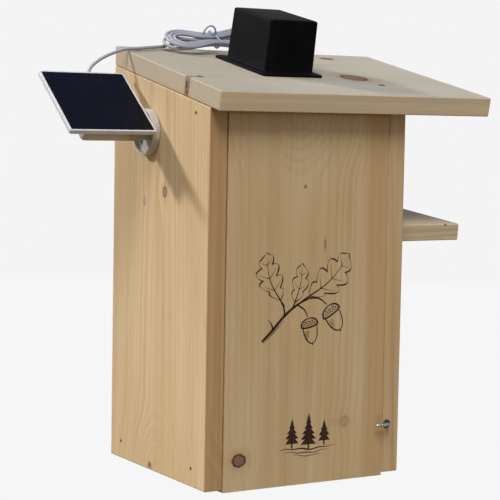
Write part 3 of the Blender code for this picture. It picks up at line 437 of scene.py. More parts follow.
def stainAndShadowBox(plain, ragged, low, high):
    # A soft-edged box from low to high, in across, through and along, with a ragged border.
    inside = []
    for axis in range(3):
        middle, half = (low[axis] + high[axis]) / 2, (high[axis] - low[axis]) / 2
        off = calc("ABSOLUTE", plain[axis] - middle) / half + (ragged - 0.5) * 1.1
        inside.append(between(off, 1.05, 0.65))
    return inside[0] * inside[1] * inside[2]


def tones(**screen):
    # Several screen colours by name.
    return {tone: fromScreen(*colour) for tone, colour in screen.items()}


# A board's values: pith (across, through), seed of its noises, and thickness of a ring, all in metres; taper is
# the shift of the rings along the grain; rise is where the pith bends and by how much; knots are place (across,
# along), size, stretch and depth; bands are middle, half width and share; edges are axis, start, end, share and
# tone; stains and painted shadows are the low and high corner, share and tone.
pine = {**tones(pale=(205, 182, 143), warm=(196, 167, 124), late=(166, 130, 86), knot=(120, 82, 58),
                knotPale=(148, 110, 84), knotRim=(58, 38, 27), halo=(160, 118, 78), band=(180, 142, 94),
                edge=(164, 118, 66)),
        "wander": 0.010, "ripple": 0.0016, "ring": 0.0042, "taper": 0.02, "swell": 0.9, "faint": 0.10,
        "strong": 0.45, "streak": 0.30, "rise": (0.0, 1.0, 0.0), "knots": (), "stainsAndShadows": (), "bands": (),
        "edges": ()}
slope = house["roofSlope"]
alongZ = {"across": (1.0, 0.0, 0.0), "through": (0.0, 1.0, 0.0), "along": (0.0, 0.0, 1.0)}
sideways = {"across": (0.0, 1.0, 0.0), "through": (-1.0, 0.0, 0.0), "along": (0.0, 0.0, 1.0)}
level = {"across": (0.0, 0.0, 1.0), "through": (0.0, -1.0, 0.0), "along": (1.0, 0.0, 0.0)}
lying = {"across": (0.0, 1.0, 0.0), "through": (0.0, 0.0, 1.0), "along": (1.0, 0.0, 0.0)}
upSlope = {"across": (0.0, cos(slope), sin(slope)), "through": (0.0, -sin(slope), cos(slope)),
           "along": (1.0, 0.0, 0.0)}
boards = {
    "front_door": {**pine, **alongZ, "pith": (-0.014, -0.150), "ring": 0.0060, "taper": -0.012,
                   "seed": (0.3, 0.1, 0.7), "rise": (0.040, 0.112, -0.028), "faint": 0.06, "strong": 0.30,
                   "bands": [(0.080, 0.021, 0.65), (-0.043, 0.010, 0.18)],
                   "stainsAndShadows": [((0.0180, -0.205, -0.1990), (0.0560, -0.195, -0.1900), 0.25, "band"),
                              # the second one darkens the door round the hook's arm: a painted shadow of the hook
                              ((0.0820, -0.205, -0.2070), (0.0930, -0.195, -0.1900), 0.35, "halo")],
                   "knots": [((-0.0741, -0.2232), 0.0070, 0.86, 1.0), ((0.0458, -0.1945), 0.0045, 1.2, 0.25),
                             ((-0.0052, 0.0364), 0.0012, 1.3, 0.8), ((0.0186, -0.0192), 0.0011, 4.0, 0.55),
                             ((0.0997, 0.0877), 0.0012, 1.2, 0.7)]},
    "side_left": {**pine, **sideways, "pith": (-0.101, 0.156), "ring": 0.0056, "taper": 0.014,
                  "seed": (1.3, 2.1, 0.2), "rise": (-0.180, -0.262, -0.030),
                  "edges": [(0, -0.1990, -0.1997, 0.80, "edge")],
                  "knots": [((-0.0881, -0.2452), 0.0026, 1.1, 0.9), ((-0.1124, 0.0281), 0.0040, 1.25, 0.75),
                            ((-0.0695, 0.0168), 0.0028, 1.5, 0.28)]},
    "side_right": {**pine, **sideways, "pith": (-0.080, -0.060), "seed": (4.2, 1.1, 3.3),
                   "edges": [(0, -0.1990, -0.1997, 0.25, "edge")],
                   "knots": [((-0.150, -0.110), 0.0065, 1.15, 0.9), ((-0.045, 0.060), 0.0035, 1.2, 0.7)]},
    "back_board": {**pine, **alongZ, "pith": (0.020, 0.050), "seed": (2.2, 5.1, 1.3),
                   "knots": [((-0.038, 0.040), 0.0080, 1.1, 0.95), ((0.052, -0.120), 0.0050, 1.2, 0.8)]},
    "floor_board": {**pine, **lying, "pith": (-0.090, -0.320), "seed": (6.0, 1.0, 2.0)},
    "top_rail": {**pine, **level, "pith": (0.050, 0.240), "seed": (3.0, 7.0, 1.0)},
    "roof_board": {**pine, **upSlope, "pith": (-0.05, 0.060), "ring": 0.0040, "seed": (8.0, 3.0, 5.0),
                   **tones(pale=(171, 165, 149), warm=(165, 156, 136), late=(150, 136, 113), edge=(218, 194, 156)),
                   "faint": 0.06, "strong": 0.30, "streak": 0.22,
                   "edges": [(2, -0.0150, -0.0850, 0.46, "late"), (2, -0.1104, -0.1109, 0.28, "edge"),
                             (0, -0.1889, -0.1896, 0.95, "edge")],
                   "knots": [((-0.1015, 0.0925), 0.0135, 1.0, 1.0), ((0.0099, 0.1305), 0.0052, 1.4, 1.0),
                             ((-0.1238, -0.1110), 0.0034, 1.2, 0.8)],
                   "stainsAndShadows": [((-0.1228, 0.1660, -0.1120), (-0.1204, 0.1690, -0.0990), 0.70, "knotRim"),
                              ((0.0060, 0.1660, 0.1250), (0.0130, 0.1690, 0.1372), 0.65, "knotRim"),
                              ((-0.1080, 0.1660, 0.0860), (-0.1020, 0.1690, 0.1030), 0.35, "knotRim"),
                              ((-0.1285, 0.1480, -0.1120), (-0.1195, 0.1640, -0.1100), 0.55, "knot"),
                              ((-0.1246, 0.1560, -0.1120), (-0.1212, 0.1645, -0.1100), 0.90, "knotRim"),
                              ((-0.1272, 0.1490, -0.1120), (-0.1236, 0.1550, -0.1100), 0.90, "knotRim"),
                              ((0.0040, 0.1490, -0.1120), (0.0082, 0.1690, -0.1100), 0.50, "knot"),
                              ((-0.1895, 0.1490, -0.1120), (-0.0300, 0.1530, -0.1100), 0.25, "band")]},
    "landing_shelf": {**pine, **lying, "pith": (-0.110, 0.060), "seed": (9.0, 4.0, 2.0),
                      **tones(pale=(212, 198, 168), warm=(204, 186, 152)),
                      "stainsAndShadows": [((-0.1800, -0.0062, 0.1785), (-0.1760, -0.0036, 0.1825), 0.75, "knotRim")]},
}


def dress(name, finish):
    nodes[name].data.materials.clear()
    nodes[name].data.materials.append(finish)


for name, board in boards.items():
    dress(name, timberFinish("timber_" + name, board))
print("timber finished:", len(boards), "boards")


# Plain moulded plastics, rubber and metal: features per metre, how far the gloss varies, and the bump in metres
plastic = {"cloud": 45.0, "darker": 2.2, "lift": 0.002, "gloss": (-0.06, 0.08), "bump": 0.00006}
metal = {"cloud": 600.0, "spot": 420.0, "shift": (0.7, 0.2, 0.4), "dull": 0.72, "rust": (92, 58, 36),
         "gloss": (-0.08, 0.14), "bump": (0.2, 0.00004)}


def plasticFinish(name, colour, roughness, specular=0.4, speckle=0.08, bump=0.25, fine=1400.0, lay=False):
    # Colour varies a little in soft clouds; a fine grained skin gives the bump and breaks up the gloss.
    finish, tree, sockets = newFinish(name, roughness, specular=specular)
    point = addNode(tree, "Attribute", output="Vector", attribute_name="lay") if lay else objectPoint(tree)
    cloud, skin = grainNoise(point, plastic["cloud"], 3.0), grainNoise(point, fine, 2.0)
    base = fromScreen(*colour)
    darker = [c * (1.0 - plastic["darker"] * speckle) for c in base]
    lighter = [min(1.0, c * (1.0 + speckle) + plastic["lift"]) for c in base]
    shade = mixed(between(cloud, 0.3, 0.7), darker, lighter)
    feed(sockets["Base Color"], mixed(between(skin, 0.3, 0.7, 0.0, 0.25), shade, darker))
    feed(sockets["Roughness"], between(skin, 0.25, 0.75, *(roughness + shift for shift in plastic["gloss"])))
    bumped(sockets, skin, bump, plastic["bump"])
    return finish


def metalFinish(name, colour, rust, roughness):
    # Bright metal clouded by a dull film, with rust in spots.
    finish, tree, sockets = newFinish(name, roughness, metallic=0.85)
    point, base = objectPoint(tree), fromScreen(*colour)
    cloud = grainNoise(point, metal["cloud"], 3.0)
    spot = grainNoise(point + metal["shift"], metal["spot"], 3.0)
    shade = mixed(between(cloud, 0.3, 0.7), [c * metal["dull"] for c in base], base)
    feed(sockets["Base Color"], mixed(between(spot, 0.5, 0.75, 0.0, rust), shade, fromScreen(*metal["rust"])))
    feed(sockets["Roughness"], between(cloud, 0.2, 0.8, *(roughness + shift for shift in metal["gloss"])))
    bumped(sockets, cloud, *metal["bump"])
    return finish


def cloudFinish(name, roughness, scale, detail, dark, light, **looks):
    # Two screen colours in soft clouds.
    finish, tree, sockets = newFinish(name, roughness, **looks)
    cloud = grainNoise(objectPoint(tree), scale, detail)
    feed(sockets["Base Color"], mixed(cloud, fromScreen(*dark), fromScreen(*light)))
    return finish


# Solar cell: how far apart its fingers and its busbars are, and how much of them and of the dust shows
cellLook = {"fingerPitch": 0.0017, "barPitch": 0.0295, "fingers": 0.22, "bars": 0.30, "dust": 0.06}


def cellFinish(c):
    # Dark silicon under resin: fine fingers across, three busbars up the panel and a little dust.
    finish, tree, sockets = newFinish("cell_glass", 0.20, specular=0.05)
    point = turnedPoint(objectPoint(tree), (1.0, 0.0, 0.0), tuple(panelAxes[:3, 1]), tuple(panelAxes[:3, 2]))
    across, up = split(point)[:2]
    fine, bars = (calc("ABSOLUTE", calc("FRACT", way / c[pitch]) - 0.5)
                  for way, pitch in ((up, "fingerPitch"), (across, "barPitch")))
    shade = mixed(grainNoise(point, 28.0), fromScreen(9, 10, 18), fromScreen(15, 16, 27))
    shade = mixed(between(fine, 0.42, 0.49, 0.0, c["fingers"]), shade, fromScreen(26, 28, 42))
    shade = mixed(between(bars, 0.480, 0.494, 0.0, c["bars"]), shade, fromScreen(30, 32, 46))
    dust = grainNoise(point, 900.0, 3.0)
    feed(sockets["Base Color"], mixed(between(dust, 0.62, 0.90, 0.0, c["dust"]), shade, fromScreen(110, 110, 112)))
    feed(sockets["Roughness"], between(dust, 0.3, 0.8, 0.14, 0.30))
    return finish


# Plastics have a screen colour, roughness, specular share and speckle; metals a colour, rust share and roughness
finishes = {
    "cover": plasticFinish("cover_plastic", (7, 7, 9), 0.50, 0.06, 0.05, bump=0.35),
    "tray": plasticFinish("tray_plastic", (206, 204, 206), 0.38, 0.4, 0.03),
    "swivel": plasticFinish("swivel_plastic", (184, 177, 168), 0.40, 0.35, 0.04),
    "lead": plasticFinish("lead_plastic", (162, 162, 172), 0.42, 0.4, 0.05, fine=900.0, lay=True),
    "tie": plasticFinish("tie_plastic", (150, 155, 180), 0.5, 0.4, 0.06, lay=True),
    "rubber": plasticFinish("black_rubber", (26, 26, 28), 0.7, 0.3, 0.1),
    "shell": plasticFinish("camera_shell", (214, 214, 212), 0.36, 0.4, 0.03),
    "ring": plasticFinish("ring_plastic", (20, 20, 22), 0.35, 0.4, 0.08),
    "port": plasticFinish("port_rubber", (30, 30, 32), 0.6, 0.3, 0.1),
    "nail": metalFinish("nail_steel", (92, 80, 68), 0.75, 0.62),
    "screw": metalFinish("screw_steel", (84, 78, 72), 0.6, 0.66),
    "zinc": metalFinish("zinc", (206, 208, 206), 0.10, 0.26),
    # the hook's collar: the same zinc painted darker as painted shade; its rust spots are its own
    "collar": metalFinish("zinc_with_painted_shade", (96, 98, 94), 0.25, 0.40),
    "brightScrew": metalFinish("bright_screw", (150, 150, 150), 0.15, 0.34),
    "pin": metalFinish("pin_steel", (150, 150, 150), 0.1, 0.35),
    "glass": cloudFinish("lens_glass", 0.06, 60.0, 2.0, (18, 16, 34), (34, 24, 52), specular=0.6, coat=0.6),
    "burnt": cloudFinish("burnt_line", 0.72, (420.0, 420.0, 90.0), 3.0, (34, 22, 16), (70, 46, 30), specular=0.2),
    "cell": cellFinish(cellLook),
}
print("plastics and metals finished:", len(finishes))


# Lead: out of the panel's boot, over the roof's corner, the loops of a tied hank, and round to the gland
lead = {"width": 0.0034, "sides": 16, "step": 0.0012, "boot": 0.0080, "seam": 0.0003,
        "exit": (-0.0440, 0.0460, 0.0125), "blend": ((-0.1545, -0.0330, 0.1400), (-0.1180, -0.0230, 0.1720)),
        "inner": (0.1510, 0.1603), "innerRings": 12, "innerSides": 14}
leadRun = [(-0.1550, -0.0295, 0.1383), (-0.1532, -0.0260, 0.1432), (-0.1493, -0.0246, 0.1493),
           (-0.1425, -0.0248, 0.1552), (-0.1335, -0.0256, 0.1605), (-0.1235, -0.0271, 0.1648),
           (-0.1150, -0.0283, 0.1676), (-0.1080, -0.0280, 0.1685), (-0.0990, -0.0254, 0.1691),
           (-0.0870, -0.0202, 0.1703), (-0.0730, -0.0140, 0.1717), (-0.0600, -0.0088, 0.1731),
           (-0.0500, -0.0059, 0.1752), (-0.0410, -0.0051, 0.1777), (-0.0325, -0.0061, 0.1801),
           (-0.0225, -0.0092, 0.1817)]
leadTail = [(0.0300, 0.2116, 0.0240), (0.0367, 0.2096, 0.0256), (0.0410, 0.2040, 0.0270),
            (0.0416, 0.1963, 0.0280), (0.0400, 0.1867, 0.0287), (0.0373, 0.1770, 0.0290),
            (0.0345, 0.1680, 0.0290)]
hank = {"turns": 2, "upperTurns": 3, "start": 0.125, "end": 4.20, "points": 96, "fold": 0.0102, "step": 0.0043,
        "layer": 0.0043, "waist": 0.0015, "half": 0.0415, "nest": 0.0090, "centreX": -0.0088, "centreS": 0.1920,
        "lift": 0.0018, "roll": radians(15.0), "pitch": radians(3.0)}
gland = {"x": 0.0326, "height": 0.0290, "coverRear": 0.1530, "draft": radians(1.1), "neck": 0.0030, "flange": 0.0046,
         "flangeHeight": 0.0013, "flangeEdge": (0.0005, 0.0006), "boot": 0.0022, "bootWall": 0.0006,
         "mouth": 0.0004, "wall": 0.0025, "free": 0.0003, "fillet": 0.0003, "sides": 40}
tie = {"wire": 0.0009, "gap": 0.0005, "arch": 0.0095, "archWidth": 0.0145, "right": 0.0035, "sides": 10}


def hankLine(turn):
    # Loops in a flat frame: two straight sides drawn in at the tie by a squared cosine, and half circles at the
    # ends; the radius shrinks a step a turn on the lower layer and grows again on the upper one, whose left
    # folds stop short of the lower ones.
    climbStart, quarter = hank["turns"] - 0.5, 0.25
    offset = hank["step"] * (np.maximum(0.0, climbStart - turn) + np.maximum(0.0, turn - climbStart - quarter))
    climb = np.clip((turn - climbStart) / quarter, 0.0, 1.0)
    height = hank["layer"] * climb ** 2 * (3 - 2 * climb)
    radius = hank["fold"] + offset
    phase = turn % 1.0
    along = phase % quarter / quarter
    side = np.where(phase < 0.5, 1.0, -1.0)
    left = hank["half"] - np.where(turn >= climbStart, hank["nest"], 0.0)
    x = (left + hank["half"]) * np.where(side > 0, along, 1 - along) - left
    draw = (hank["fold"] - hank["waist"]) * np.cos(pi * x / 2 / np.where(x < 0, left, hank["half"])) ** 2
    angle = side * pi / 2 - along * pi
    runs = np.column_stack([x, side * (radius - draw), height])
    end = np.where(side > 0, hank["half"], -left)
    folds = np.column_stack([end + radius * np.cos(angle), radius * np.sin(angle), height])
    return np.where((phase % 0.5 < quarter)[:, None], runs, folds)


def hankPlace():
    # The flat frame lies on the roof by its front left corner, pitched and rolled about it.
    front = hank["fold"] + (hank["turns"] - 1) * hank["step"]
    reach = hank["half"] + hank["fold"] + (hank["turns"] - 0.5) * hank["step"] + lead["width"] / 2
    corner = (hank["centreX"] - reach, hank["centreS"] - front * cos(hank["roll"]), lead["width"] / 2 + hank["lift"])
    pitched = moved(roofAxes, corner, -hank["pitch"], "Y")
    return moved(moved(pitched, (reach, 0.0, 0.0), hank["roll"], "X"), (0.0, front, 0.0), 0.0, "X")


def leadPath():
    # The whole centreline: the first stretch, the loops and the last stretch, end to end.
    width, seam = lead["width"], lead["seam"]
    turns = np.linspace(hank["start"], hank["end"], round((hank["end"] - hank["start"]) * hank["points"]) + 1)
    loops = placed(hankLine(turns), hankPlace())
    x, up, out = lead["exit"]
    start, ahead = placed([(x, up + lead["boot"] + seam, out)], panelAxes)[0], panelAxes[:3, 1]
    inward = hankPlace()[:3, 0]
    finish = loops[0] - inward * seam
    first = smoothPath([start, start + ahead * width, *leadRun, finish - inward * width, finish], lead["step"])
    leave = unit(loops[-1] - loops[-2])
    begin = loops[-1] + leave * seam
    mouth = glandMouth()
    last = smoothPath([begin, begin + leave * width, *placed(leadTail, roofAxes),
                       mouth + roofAxes[:3, 1] * width, mouth], lead["step"])
    return np.vstack([first, loops, last])


def glandMouth():
    s = gland["coverRear"] - gland["height"] * tan(gland["draft"]) + gland["boot"] + gland["free"]
    return placed([(gland["x"], s, gland["height"])], roofAxes)[0]


def tiePath():
    # A band once round the strands at the waist, its spare end standing up in a half-ellipse.
    gap = lead["width"] / 2 + tie["wire"] + tie["gap"]
    lowRear, highRear = (hank["waist"] + hank["step"] * (hank[n] - 0.5) for n in ("turns", "upperTurns"))
    lowFront, highFront = (-hank["waist"] - hank["step"] * (hank[n] - 1) for n in ("turns", "upperTurns"))
    middle, top = (highFront + highRear) / 2, hank["layer"] + gap
    lean = atan2(highRear - lowRear, hank["layer"])
    t = shares(25)[:-1]
    arch = np.column_stack([tie["right"] - tie["archWidth"] * (1 + np.cos(pi * t)) / 2, np.full(len(t), middle),
                            top + 2 * tie["wire"] * (1 - t ** 4) + tie["arch"] * np.sin(pi * t)])
    rows = [arch, [(tie["right"], middle, top)]]
    for y, z, start, stop in ((highFront, hank["layer"], pi / 2, pi + lean), (lowFront, 0.0, pi + lean, 3 * pi / 2),
                              (lowRear, 0.0, -pi / 2, -lean), (highRear, hank["layer"], -lean, pi / 2)):
        a = np.linspace(start, stop, 9)
        rows.append(np.column_stack([np.full(len(a), tie["right"]), y + gap * np.cos(a), z + gap * np.sin(a)]))
    rows.append([(tie["right"], middle + 4 * tie["wire"], top)])
    return placed(np.vstack(rows), hankPlace())


def makeTube(name, path, radius, sides, finish, body, stands, bend=None):
    shape, lay = sweep(path, radius, sides)
    return makePiece(name, shape, finish, body, stands, bend, 60.0, lay)


leadLine = leadPath()
leadPiece = makeTube("panel_lead", leadLine, lead["width"] / 2, lead["sides"], "lead", None,
                     ("lead_run", "lead_hank", "lead_tail"), ("panel", "house", *lead["blend"]))
tiePiece = makeTube("hank_tie", tiePath(), tie["wire"], tie["sides"], "tie", "house", ("lead_tie",))
innerStart, innerEnd = placed([(gland["x"], s, gland["height"]) for s in lead["inner"]], roofAxes)
makeTube("camera_lead", innerStart + shares(lead["innerRings"])[:, None] * (innerEnd - innerStart), lead["width"] / 2,
         lead["innerSides"], "lead", "house", ("inner_lead",))


# Black cover over the camera: one skin from inside to outside, with drafted sides and a flange on the roof
cover = {"left": -0.0117, "front": 0.0750, "width": 0.0570, "length": 0.0780, "height": 0.0540, "draft": radians(1.1),
         "wall": 0.0025, "corner": 0.0026, "topRound": 0.0020, "leftLip": 0.0084, "rightLip": 0.0042,
         "frontLip": 0.0124, "rearLip": 0.0100, "lip": 0.0025, "lipCorner": 0.0030, "lipUnder": 0.0004,
         "lipEdge": 0.0006, "foot": 0.0010, "lift": 0.0003, "innerCorner": 0.0010}


def makeCover(c):
    # Rounded rectangles from the ceiling inside, down, out under the flange, and up to the top.
    centreX, centreS = c["left"] + c["width"] / 2, c["front"] + c["length"] / 2
    lipX, lipS = centreX + (c["rightLip"] - c["leftLip"]) / 2, centreS + (c["rearLip"] - c["frontLip"]) / 2
    lean, ceiling, inner = tan(c["draft"]), c["height"] - c["wall"], c["innerCorner"]
    under, edge = c["lipUnder"], c["lipEdge"]

    def wallAt(height, inset, corner):
        narrower = 2 * (height * lean + inset)
        return (c["width"] - narrower, c["length"] - narrower, corner, height + c["lift"], centreX, centreS)

    def lipAt(height, inset):
        return (c["width"] + c["leftLip"] + c["rightLip"] - 2 * inset,
                c["length"] + c["frontLip"] + c["rearLip"] - 2 * inset,
                c["lipCorner"], height + c["lift"], lipX, lipS)

    rows = [wallAt(ceiling, c["wall"] + inner, inner), wallAt(ceiling - inner, c["wall"], inner),
            wallAt(0.0, c["wall"], inner), lipAt(0.0, under), lipAt(under, 0.0), lipAt(c["lip"] - edge, 0.0),
            lipAt(c["lip"] - edge / 3, edge / 3), lipAt(c["lip"], edge)]
    for t in shares(5) * pi / 2:
        rows.append(wallAt(c["lip"] + c["foot"] * (1 - cos(t)), c["foot"] * (sin(t) - 1), c["corner"]))
    rows.append(wallAt(c["height"] / 2, 0.0, c["corner"]))
    for t in shares(7) * pi / 2:
        rows.append(wallAt(c["height"] - c["topRound"] * (1 - sin(t)), c["topRound"] * (1 - cos(t)), c["corner"]))
    makePiece("cover", loft(rows, roofAxes, 7), "cover", "house", ("camera_cover",), sharp=50.0)


def makeGland(g):
    # Grommet: flanges both sides of the wall and a short boot round the lead.
    face = g["coverRear"] - g["height"] * tan(g["draft"])
    bore, outer, inside = lead["width"] / 2 + g["free"], g["flangeHeight"] + g["free"], -g["wall"] - g["free"]
    boot, flange, (across, up) = g["boot"], g["flange"], g["flangeEdge"]
    profile = [(0.0, boot - g["mouth"]), (bore, boot - g["mouth"]), (bore, boot), (bore + g["bootWall"], boot),
               (g["neck"], outer), (flange - across, outer), (flange, g["free"] + up), (flange, g["free"]),
               (g["neck"], g["free"]), (g["neck"], inside), (flange, inside),
               (flange, inside - g["flangeHeight"]), (0.0, inside - g["flangeHeight"])]
    axes = moved(roofAxes, (g["x"], face, g["height"]), -pi / 2, "X")
    shape = lathe(softProfile(profile, g["fillet"], 3), g["sides"], axes)
    makePiece("cover_gland", shape, "rubber", "house", ("lead_gland",))


makeCover(cover)
makeGland(gland)
for name, finish in (("body", "shell"), ("ring", "ring"), ("plug", "shell"), ("lens", "glass")):
    dress("camera_" + name, finishes[finish])
print("cover, gland and camera made")


# Swivel: a cup on the wall, a rod with a grooved grip, and the sleeve on the panel's back box
cup = {"radius": 0.0230, "depth": 0.0082, "floor": 0.0030, "rim": 0.0026, "hole": 0.0018, "sunkRadius": 0.0035,
       "sunk": 0.0022, "seam": 0.0003, "fillet": 0.0009, "sides": 96}
rod = {"radius": 0.0062, "end": 0.0690, "boss": 0.0079, "foot": 0.0033, "bore": 0.0018, "boreEnd": 0.0143,
       "grip": 0.0088, "gripOut": 0.0236, "gripIn": 0.0105, "grooves": 12, "grooveWidth": 0.0022,
       "grooveDepth": 0.0013, "grooveEnd": 0.0008, "grooveSide": 0.0004, "gripEdge": 0.0005, "edge": 0.0006,
       "sides": 144}
sleeve = {"radius": 0.0088, "left": 0.0745, "right": 0.0240, "round": 0.0045, "bore": 0.0065, "boreEnd": 0.0693,
          "edge": 0.0006, "sides": 96}
panel = {"centreX": -0.0545, "centreUp": 0.0219, "top": 0.0208, "width": 0.0915, "length": 0.0950, "thick": 0.0046,
         "rim": 0.0019, "recess": 0.0010, "corner": 0.0022, "sink": 0.0002, "seam": 0.0003, "edge": 0.0005,
         "chamfer": 0.0001}
backBox = {"width": 0.0505, "length": 0.0560, "thick": 0.0080, "front": 0.0100, "corner": 0.0044, "round": 0.0012}
port = {"right": 0.012, "down": 0.0024, "width": 0.0115, "length": 0.0017, "corner": 0.0008, "sunk": 0.0004,
        "shoulder": 0.0001, "proud": 0.0003, "edge": 0.0002}
relief = {"foot": 0.00255, "tip": 0.0020, "rib": 0.00016, "ribs": 4, "ribCut": 0.2, "steps": 33, "sides": 28}


def makeCup(c):
    inner = c["radius"] - c["rim"]
    profile = [(c["hole"], c["floor"]), (inner, c["floor"]), (inner, c["depth"]), (c["radius"], c["depth"]),
               (c["radius"], c["seam"]), (c["sunkRadius"], c["seam"]), (c["sunkRadius"], c["sunk"]),
               (c["hole"], c["sunk"]), (c["hole"], c["floor"])]
    makePiece("cup", lathe(softProfile(profile, c["fillet"], 6), c["sides"], cupAxes), "swivel", "house",
              ("wall_cup",), sharp=60.0)


def makeRod(r):
    # The grip's radius drops in twelve grooves: a share of the depth set by how near the angle is to a groove's
    # middle, and by how far the height is inside the grip's ends.
    low, high = r["gripIn"] + r["grooveWidth"] / 2, r["gripOut"] - r["grooveWidth"] / 2

    def grooves(angle, height):
        inside = np.clip((height - low) / r["grooveEnd"], 0, 1) * np.clip((high - height) / r["grooveEnd"], 0, 1)
        turn = (angle * r["grooves"] / (2 * pi) + 0.5) % 1.0 - 0.5
        off = np.abs(turn) * 2 * pi * r["grip"] / r["grooves"]
        cut = np.clip(((r["grooveWidth"] + r["grooveSide"]) / 2 - off) / r["grooveSide"], 0, 1)
        return 1.0 - inside * cut * r["grooveDepth"] / r["grip"]

    shaft = softProfile([(0.0, r["end"]), (r["radius"], r["end"]), (r["radius"], r["gripOut"]),
                         (r["grip"] - r["edge"], r["gripOut"])], r["edge"], 4)
    grip = [(r["grip"], h) for h in np.linspace(r["gripOut"] - r["gripEdge"], r["gripIn"] + r["gripEdge"], 24)]
    profile = [*shaft, *grip, (r["grip"] - r["gripEdge"], r["gripIn"]), (r["boss"], r["gripIn"]),
               (r["boss"], r["foot"]), (r["bore"], r["foot"]), (r["bore"], r["boreEnd"]), (0.0, r["boreEnd"])]
    makePiece("rod", lathe(profile, r["sides"], cupAxes, grooves), "swivel", "house", ("swivel_rod",), sharp=40.0)


def makeSleeve(s, box, p):
    # A closed tube round the rod with a rounded end, and the box behind the tray.
    inner = s["radius"] - s["round"]
    profile = [(0.0, s["left"])] + [(inner + s["round"] * cos(a), s["left"] - s["round"] + s["round"] * sin(a))
                                    for a in np.linspace(pi / 2, 0.0, 9)]
    profile += [(s["radius"], s["right"] + s["edge"]), (s["radius"] - s["edge"], s["right"]), (s["bore"], s["right"]),
                (s["bore"], s["boreEnd"]), (0.0, s["boreEnd"])]
    under = p["top"] - p["thick"] - p["seam"]
    centre, size = (p["centreX"], box["length"] / 2 - box["front"]), (box["width"], box["length"], box["corner"])
    rows = roundedEdge(size, under - box["thick"], box["round"], centre, 6, True) + [(*size, under, *centre)]
    shape = together([lathe(profile, s["sides"], sleeveAxes), loft(rows, panelAxes)])
    makePiece("sleeve_and_box", shape, "swivel", "panel", ("panel_sleeve",), sharp=50.0)


def makeTray(p):
    # Frame and back of the panel: out from the back, up the rounded edges, and into the well.
    centre, size = (p["centreX"], p["centreUp"]), (p["width"], p["length"], p["corner"])
    inner = (p["width"] - 2 * p["rim"], p["length"] - 2 * p["rim"], p["corner"] / 2)
    rows = [*roundedEdge(size, p["top"] - p["thick"], p["edge"], centre, 5, True),
            *roundedEdge(size, p["top"], p["edge"], centre, 5, False),
            (*inner, p["top"], *centre), (*inner, p["top"] - p["recess"], *centre)]
    makePiece("tray", loft(rows, panelAxes), "tray", "panel", ("panel_tray",), sharp=24.0)


def makeCell(p):
    centre, corner, chamfer = (p["centreX"], p["centreUp"]), p["corner"] / 2, p["chamfer"]
    width, length = (p[side] - 2 * (p["rim"] + p["seam"]) for side in ("width", "length"))
    low, high = p["top"] - p["recess"] + p["seam"], p["top"] - p["sink"]
    rows = [(width, length, corner, low, *centre), (width, length, corner, high - chamfer, *centre),
            (width - 2 * chamfer, length - 2 * chamfer, corner, high, *centre)]
    makePiece("cell", loft(rows, panelAxes), "cell", "panel", ("panel_cell",), sharp=8.0)


def makeRelief(r):
    # Tapered strain relief with four shallow ribs.
    h = np.linspace(lead["seam"], lead["boot"], r["steps"])
    grooved = np.cos(h / lead["boot"] * r["ribs"] * 2 * pi) > r["ribCut"]
    radius = np.interp(h, [lead["seam"], lead["boot"]], [r["foot"], r["tip"]]) - r["rib"] * grooved
    axes = moved(panelAxes, lead["exit"], -pi / 2, "X")
    points, faces = lathe([(0.0, h[0]), *zip(radius, h), (0.0, h[-1])], r["sides"], axes)
    makePiece("lead_relief", (points, faces), "lead", "panel", ("lead_boot",), sharp=50.0, lay=points)


def makePort(t, box, p):
    # A shut service port on the front of the back box: a thin rounded plug standing a little proud.
    place = (p["centreX"] + t["right"], -box["front"], p["top"] - p["thick"] - t["down"])
    axes = moved(panelAxes, place, pi / 2, "X")
    size = (t["width"], t["length"], t["corner"])
    rows = [(*size, -t["sunk"], 0.0, 0.0), (*size, t["shoulder"], 0.0, 0.0),
            (t["width"] - 2 * t["edge"], t["length"] - 2 * t["edge"], t["corner"] - t["edge"], t["proud"], 0.0, 0.0)]
    makePiece("box_port", loft(rows, axes, 5), "port", "panel", sharp=40.0)


makeCup(cup)
makeRod(rod)
makeSleeve(sleeve, backBox, panel)
makeTray(panel)
makeCell(panel)
makeRelief(relief)
makePort(port, backBox, panel)
print("swivel and panel made")


# Hook, screws and nails
hook = {"x": 0.0960, "z": -0.2010, "wire": 0.0015, "reach": 0.0062, "arm": 0.0162, "depth": 0.0140, "bend": 0.0030,
        "collar": 0.0043, "collarHeight": 0.0011, "fillet": 0.0005, "seam": 0.0003, "tip": 0.0008,
        "tipShare": 0.55, "wireSides": 18, "collarSides": 40}
screwHead = {"sides": 48, "rings": 15, "dome": 0.00015, "point": 0.9, "turn": 0.9}
boardScrew = {"radius": 0.0036, "shank": 0.0017, "length": 0.0450}
cupScrew = {"radius": 0.0028, "shank": 0.0014, "length": 0.0150, "sunk": 0.0016, "circle": 0.0155,
            "angle": radians(-34.0), "count": 3}
roofScrews = ((-0.0970, 0.0512), (-0.0970, 0.1890), (0.1030, 0.0365), (0.1030, 0.1700))
shelf = {"screwShares": (-0.33, 0.33), "front": -0.1780, "length": 0.1400, "top": -0.0040, "tilt": radians(6.0),
         "thick": 0.0170}


